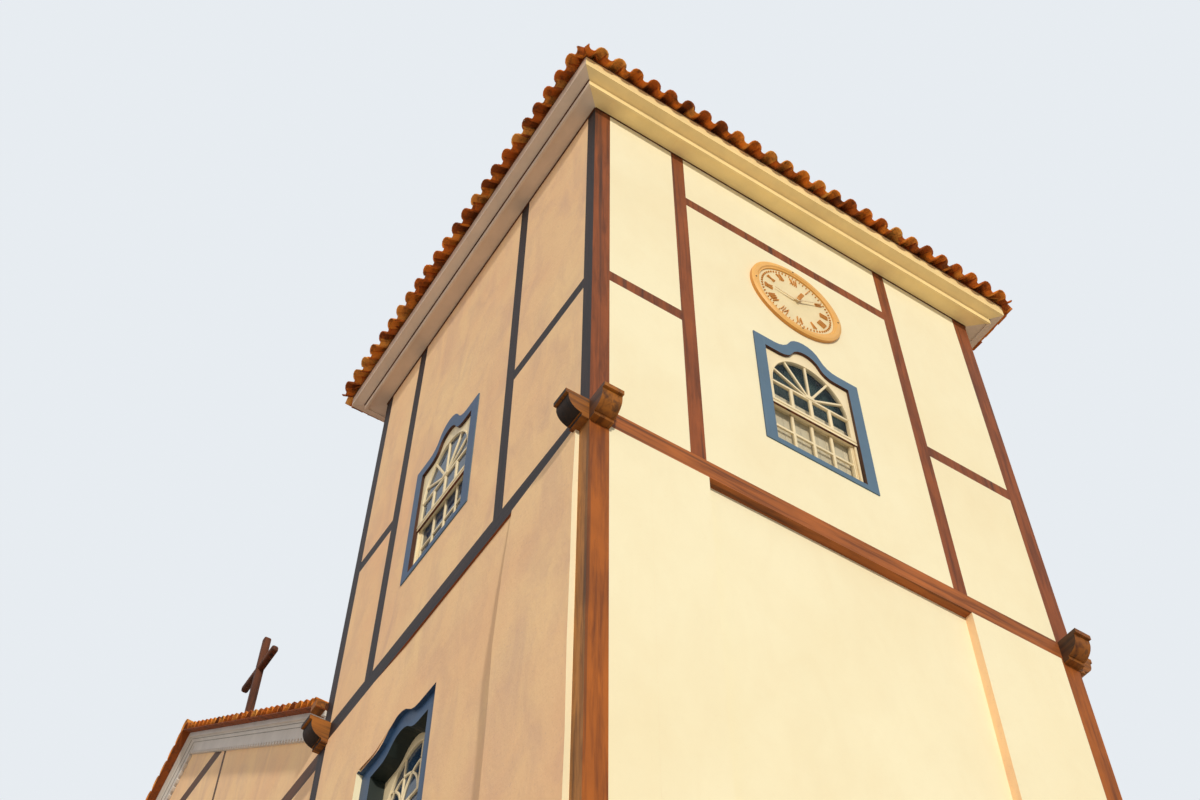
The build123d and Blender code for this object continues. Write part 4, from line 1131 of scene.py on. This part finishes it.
# %% Minute pegs
PEG_RING = 0.455
PEG_RADIUS = 0.0066
PEG_HEIGHT = 0.015
pick_nothing()
bpy.ops.mesh.primitive_cylinder_add(vertices=12, radius=PEG_RADIUS, depth=PEG_HEIGHT,
                                    location=(0, PEG_RING, DIAL_FACE + PEG_HEIGHT / 2), scale=(1, 1.9, 1))
peg = settle(bpy.context.object)
finished(peg, "BEVEL", width=0.003, segments=2, limit_method="ANGLE")
bpy.ops.object.shade_smooth()
pegs = [peg]
for minute in range(1, 60):
    pegs.append(stand_on(twin(peg), Matrix.Rotation(math.radians(6 * minute), 4, "Z")))
minute_pegs = joined(pegs, "minute_pegs")
minute_pegs.data.materials.append(figure_paint_and_rim_shade)
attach(stand_on(minute_pegs, clock_place), "church")

# %% [markdown]
# Four bolts hold the rim. The minute hand carries a short carved tongue on its
# hub, notched across, which points past one o'clock while the hand shows two;
# it turns with the hand, in front of everything else.

# %% Bolts and tongue
iron = Finish("dark_iron", 0.45)
iron.colour(iron.ramp(iron.noise(40, 3, 0.6), [(0.3, srgb(38, 28, 22)), (0.7, srgb(70, 50, 36))]))
iron.bump(iron.noise(200, 2, 0.6), 0.0004, 0.6)
iron.shader.inputs["Metallic"].default_value = 0.4
BOLT_RING = 0.548
BOLT_LEVEL = 0.0495
bolts = []
for quarter in range(4):
    pick_nothing()
    angle = math.radians(90 * quarter)
    place = (BOLT_RING * math.sin(angle), BOLT_RING * math.cos(angle), BOLT_LEVEL)
    bpy.ops.mesh.primitive_uv_sphere_add(segments=14, ring_count=8, radius=0.011, location=place,
                                         scale=(1, 1, 0.55))
    bolts.append(settle(bpy.context.object))
    bpy.ops.object.shade_smooth()
rim_bolts = joined(bolts, "rim_bolts")
rim_bolts.data.materials.append(iron.material)
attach(stand_on(rim_bolts, clock_place), "church")

HAND_FACE = 0.056
TONGUE_LEAN = math.radians(27)
tongue_parts = [bar((0, 0.0), (0, 0.165), 0.040, HAND_FACE - 0.004, HAND_FACE + 0.006)]
for step in range(5):
    notch = 0.046 + step * 0.028
    tongue_parts.append(bar((-0.025, notch), (0.025, notch), 0.015, HAND_FACE, HAND_FACE + 0.011))
tongue = joined(tongue_parts, "hand_tongue")
finished(tongue, "BEVEL", width=0.002, segments=2)
tongue.data.materials.append(figure_paint_and_rim_shade)
stand_on(tongue, Matrix.Rotation(-TONGUE_LEAN, 4, "Z"))
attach(stand_on(tongue, clock_place), "minute_hand")
print("clock dressed at", round(CLOCK_Y, 3), round(CLOCK_Z, 3))

# %% [markdown]
# The gable's raking cornice has a row of small teeth under its lower edge, two to every tile, and two thin
# grey strips along its moulding, painted shade in its two grooves.
# They follow the slope on both sides of the gable, front and rear, and stop
# where the roof meets a tower or an eave.

# %% Teeth under the gable cornice
TOOTH_PITCH = 0.119
TOOTH_SIZE = (0.062, 0.038, 0.044)
CORNICE_FACE = 0.24
QUIRKS = ((0.136, 0.036), (0.170, 0.068))
# Grey strips: painted shade of the moulding's grooves.
quirk_painted_shade = painted("quirk_painted_shade", srgb(120, 112, 106), srgb(84, 76, 70), 0.7, 0.3, "x")


def teeth(name, station, looks, end_x):
    run = (end_x - 0.2) * pitch_factor
    pieces = []
    for side in (1, -1):
        tooth = block((TOOTH_PITCH, -CORNICE_FACE - 0.014, 0.022), TOOTH_SIZE)
        finished(tooth, "BEVEL", width=0.004, segments=1)
        repeated(tooth, int(run / TOOTH_PITCH), (TOOTH_PITCH, 0, 0))
        tooth.data.materials.append(gable_paint)
        parts = [tooth]
        for level, reach in QUIRKS:
            middle = ((end_x - 0.1) * pitch_factor / 2, level - CORNICE_FACE, reach)
            quirk = block(middle, (run, 0.007, 0.004))
            quirk.data.materials.append(quirk_painted_shade)
            parts.append(quirk)
        along, up = slope_axes(side)
        turn = Matrix((along, up, Vector((0, looks, 0)))).transposed()
        pieces.append(stand_turned(joined(parts, "toothed_edge"), (0, station, RIDGE_UNDERSIDE), turn))
    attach(joined(pieces, name), "church")


teeth("front_gable_teeth", GABLE_Y, -1, TOWER_INNER)
teeth("rear_gable_teeth", NAVE_REAR_Y, 1, NAVE_OUTER)

# %% [markdown]
# Where the gable's verge reaches a tower it is closed by a short wooden box
# running from front to back, covered by one tile laid the same way.

# %% End boxes of the gable
def end_box(side):
    near, far = TOWER_INNER - END_BOX, TOWER_INNER - WALL_GAP
    middle_x = side * (near + far) / 2
    foot = nave_height(TOWER_INNER) + 0.002
    level = nave_height(near) + DECK + 0.012
    box = block((middle_x, front_verge + 0.145, (foot + level) / 2), (far - near, 0.27, level - foot))
    finished(box, "BEVEL", width=0.006, segments=2)
    box.data.materials.append(timber_across)
    tile = laid(half_tile(0.072, 0.064, 0, True), 1, 1, 0, 0, 0.002, 0.01)
    tile.scale = (0.92, 0.29 / TILE_LENGTH, 0.60)
    settle(tile)
    tile.data.materials.append(tile_clay)
    stand_on(tile, Matrix.Translation((middle_x, front_verge + 0.002, level - 0.004)))
    return joined([box, tile], f"gable_end_box_{'right' if side > 0 else 'left'}")


for side in (1, -1):
    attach(end_box(side), "church")

# %% [markdown]
# Below the beam the outer corner of each tower's front was built up with a
# thick coat of lime, a strip a metre wide beside the corner post. Away from
# the post it dies out under the beam and swells towards the ground. Over the
# window beside it the plaster is feathered from the recess back to the wall's
# own face.

# %% Thick lime coat on the towers' fronts
COAT_FOOT = 0.12
COAT_NEAR, COAT_FAR = 0.152, 1.227


def coat_depth(x, z):
    """Even beside the post; at its other edge the coat grows from nothing under the beam."""
    below = BEAM_FOOT - z
    share = (TOWER_OUTER - abs(x) - COAT_NEAR) / (COAT_FAR - COAT_NEAR)
    at_post = 0.034 + 0.016 * min(1, below / 0.7)
    at_edge = 0.006 + 0.066 * min(1, below / 1.2) + 0.003 * below
    return at_post + (at_edge - at_post) * share


def lime_coat(side):
    middle = side * (TOWER_OUTER - (COAT_NEAR + COAT_FAR) / 2)
    coat = block((middle, FRONT_Y, (BEAM_FOOT + COAT_FOOT) / 2),
                 (COAT_FAR - COAT_NEAR, 0.02, BEAM_FOOT - COAT_FOOT))
    worked(coat, bpy.ops.mesh.subdivide, number_cuts=13)
    for vertex in coat.data.vertices:
        x, y, z = vertex.co
        if y < FRONT_Y:
            wave = 0.004 * math.sin(3.1 * z + 2.0 * x) * min(1, (BEAM_FOOT - z) / 0.3)
            vertex.co.y = FRONT_Y - coat_depth(x, z) + wave
        else:
            vertex.co.y = FRONT_Y + 0.001
    finished(coat, "BEVEL", width=0.006, segments=2, limit_method="ANGLE", angle_limit=math.radians(60))
    bpy.ops.object.shade_smooth_by_angle(angle=math.radians(30))
    coat.data.materials.append(side_plaster)
    # The coat's front faces take the front limewash with its painted warm light.
    further_finish(coat.data, front_plaster_painted_light, looks_front(-0.5))
    return coat


def over_head(u):
    """The lower frame's outer curve over its foot, from its edge towards its middle."""
    return 1.729 + 0.165 * max(0, min(1, (u - 0.26) / 0.40)) ** 1.2


def feathered(side):
    """Plaster over a lower window: flush with the recess at one side, with the wall at the other."""
    run = 0.62
    edge = TOWER_OUTER - 3.790
    pick_nothing()
    bpy.ops.mesh.primitive_grid_add(x_subdivisions=24, y_subdivisions=1, size=1,
                                    rotation=(math.pi / 2, 0, 0))
    sheet = settle(bpy.context.object)
    for vertex in sheet.data.vertices:
        u = run * (vertex.co.x + 0.5)
        level = LOWER_FOOT + over_head(u) if vertex.co.z < 0 else BEAM_FOOT
        vertex.co = (side * (edge + u), FRONT_Y - 0.0005 + 0.0203 * u / run, level)
    # The feathered plaster takes the front limewash with its painted warm light.
    sheet.data.materials.append(front_plaster_painted_light)
    if side < 0:
        worked(sheet, bpy.ops.mesh.flip_normals)
    return finished(sheet, "SOLIDIFY", thickness=0.003, offset=-1)


for side in (1, -1):
    name = "right" if side > 0 else "left"
    strip = joined([lime_coat(side), feathered(side)], f"{name}_tower_lime_coat")
    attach(strip, "church")
    print(strip.name, "triangles", triangles(strip))

# %% [markdown]
# A thin brown bead closes the joint between a tower's wall and its cornice. On the front and rear it is
# stouter, and a dark strip lies along the joint between the cornice's two boards, above the small moulding
# that hangs between them: there both are painted shade, for the faces away from the light.

# %% Dark joints and painted shade of the cornices
CORNICE_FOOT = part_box("right_tower_cornice")[0].z
BEAD_LEVEL = 0.031
STOUT_BEAD, THIN_BEAD = 0.020, 0.009
BOARD_JOINT = 0.093
joints = []
for side in (1, -1):
    middle_x, middle_y = side * (TOWER_INNER + TOWER_OUTER) / 2, (FRONT_Y + REAR_Y) / 2
    for outward in ((1, 0, 0), (-1, 0, 0), (0, 1, 0), (0, -1, 0)):
        half, reach = (half_width, half_depth) if outward[1] else (half_depth, half_width)
        face = wall_matrix(middle_x + outward[0] * reach, middle_y + outward[1] * reach, outward,
                           CORNICE_FOOT)
        # On the front and rear the stouter bead and the strip along the board joint are painted shade.
        rise = STOUT_BEAD if outward[1] else THIN_BEAD
        level = BEAD_LEVEL - rise / 2
        beads = [bar((-half, level), (half, level), rise, 0, 0.012)]
        if outward[1]:
            beads.append(bar((-half - 0.224, BOARD_JOINT), (half + 0.224, BOARD_JOINT), 0.013, 0.219, 0.232))
        joints.append(stand_on(joined(beads, "beads"), face))
cornice_joints_and_painted_shade = joined(joints, "cornice_joints_and_painted_shade")
cornice_joints_and_painted_shade.data.materials.append(eave_boards)
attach(cornice_joints_and_painted_shade, "church")

# %% [markdown]
# The cross on the ridge is two hewn baulks halved together. Weather has
# rounded its ends, so its blocks get a broad bevel, and the arm is a shade
# slimmer than the pole it passes through.

# %% Cross on the ridge
cross_low, cross_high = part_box("ridge_cross")
cross_y = (cross_low.y + cross_high.y) / 2
CROSS_WIDTH = cross_high.y - cross_low.y
ARM_LEVEL = BEAM_TOP + 5.44
ARM_WIDTH = CROSS_WIDTH - 0.006
pole = block((0, cross_y, (cross_low.z + cross_high.z) / 2),
             (CROSS_WIDTH, CROSS_WIDTH, cross_high.z - cross_low.z))
arm = block((0, cross_y, ARM_LEVEL), (cross_high.x - cross_low.x, ARM_WIDTH, ARM_WIDTH))
finished(pole, "BEVEL", width=0.026, segments=4)
finished(arm, "BEVEL", width=0.034, segments=4)
cross = joined([pole, arm], "hewn_cross")
bpy.ops.object.shade_smooth_by_angle(angle=math.radians(40))
cross.data.materials.append(cross_wood)
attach(cross, "church")
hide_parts("ridge_cross")

# %% [markdown]
# The double door is boarded: wide upright planks with eased edges on each
# leaf, and a narrow cover strip where the leaves meet.

# %% Door boards
door_low, door_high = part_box("main_door")
door_place = wall_matrix(0, door_low.y, (0, -1, 0), 0)
LEAF = door_high.x
PLANK = (LEAF - 0.012) / 6
BELL_HALF = 0.78
planks = []
for side in (1, -1):
    for number in range(6):
        reach = 0.006 + PLANK * (number + 0.5)
        drop = 0.43 if reach > BELL_HALF else 0.05 + 0.36 * (reach / BELL_HALF) ** 1.4
        planks.append(bar((side * reach, 0.03), (side * reach, door_high.z - drop), PLANK - 0.006, 0, 0.018))
    for level in (0.42, 1.95, 3.45):
        planks.append(bar((side * 0.05, level), (side * (LEAF - 0.05), level), 0.15, 0.010, 0.032))
planks.append(bar((0, 0.03), (0, door_high.z - 0.08), 0.07, 0.012, 0.040))
door_boards = joined(planks, "door_boards")
finished(door_boards, "BEVEL", width=0.005, segments=2, limit_method="ANGLE")
door_boards.data.materials.append(door_paint)
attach(stand_on(door_boards, door_place), "church")

# %% [markdown]
# Camera. The photograph looks up steeply from eye height, near the right
# tower's corner. The position, aim and lens were worked out from the
# building's straight lines, and the camera's axes are written as directions
# so that the frame's slight roll is kept.

# %% Camera
bpy.ops.object.camera_add(location=(0, 0, 0))
camera = bpy.context.object
eye = Vector((TOWER_OUTER + 6.398, FRONT_Y - 3.937, BEAM_TOP - 10.10))
forward = Vector((-0.50474643, 0.31867505, 0.80229499))
across = Vector((0.54112928, 0.84091487, 0.00642467))
upward = Vector((0.67261441, -0.43738814, 0.59689318))
turn = Matrix((across, upward, -forward)).transposed()
camera.matrix_world = Matrix.Translation(eye) @ turn.to_4x4()
camera.data.sensor_width = 36
camera.data.lens = 45.56
camera.data.clip_end = 300
bpy.context.scene.camera = camera
print("eye", [round(v, 2) for v in eye])

# %% [markdown]
# Light. A key stands low on the right, so the clock's wall is bright and the
# front stays a tone lower, as in the late sun; a wide warm fill softens the
# front. The room around is pale and even. The camera, glossy metal and glass
# see it as a plain light backdrop.

# %% Light, floor and backdrop
def soft_sun(name, towards, strength, angle, colour):
    bpy.ops.object.light_add(type="SUN", location=(0, 0, 30))
    lamp = bpy.context.object
    lamp.name = name
    lamp.data.energy = strength
    lamp.data.angle = math.radians(angle)
    lamp.data.color = colour
    lamp.rotation_euler = Vector(towards).to_track_quat("Z", "Y").to_euler()


soft_sun("key", (0.90, -0.28, 0.29), 2.28, 3, (1.0, 0.93, 0.80))
soft_sun("fill", (0.15, -0.90, 0.20), 0.50, 60, (1.0, 0.78, 0.58))

world = bpy.data.worlds.new("studio")
bpy.context.scene.world = world
world.use_nodes = True
sky = world.node_tree
path = sky.nodes.new("ShaderNodeLightPath")
backdrop = sky.nodes.new("ShaderNodeBackground")
backdrop.inputs["Color"].default_value = (0.80, 0.84, 0.88, 1)
backdrop.inputs["Strength"].default_value = 1.0
room = sky.nodes["Background"]
room.inputs["Color"].default_value = (0.80, 0.86, 0.96, 1)
room.inputs["Strength"].default_value = 0.34
choose = sky.nodes.new("ShaderNodeMixShader")
seen = path.outputs["Is Camera Ray"]
for kind in ("Is Glossy Ray", "Is Transmission Ray"):
    either = sky.nodes.new("ShaderNodeMath")
    either.operation = "MAXIMUM"
    sky.links.new(seen, either.inputs[0])
    sky.links.new(path.outputs[kind], either.inputs[1])
    seen = either.outputs[0]
sky.links.new(seen, choose.inputs["Fac"])
sky.links.new(room.outputs[0], choose.inputs[1])
sky.links.new(backdrop.outputs[0], choose.inputs[2])
sky.links.new(choose.outputs[0], sky.nodes["World Output"].inputs["Surface"])

ground = Finish("pale_floor", 0.9)
ground.colour(ground.mix(ground.noise(0.8, 3, 0.5), srgb(240, 233, 220), srgb(234, 227, 214)))
pick_nothing()
bpy.ops.mesh.primitive_plane_add(size=160, location=(0, 0, -0.002))
studio_floor = bpy.context.object
studio_floor.name = "studio_floor"
studio_floor.data.materials.append(ground.material)

# %% Close
bpy.context.scene.view_settings.view_transform = "Standard"
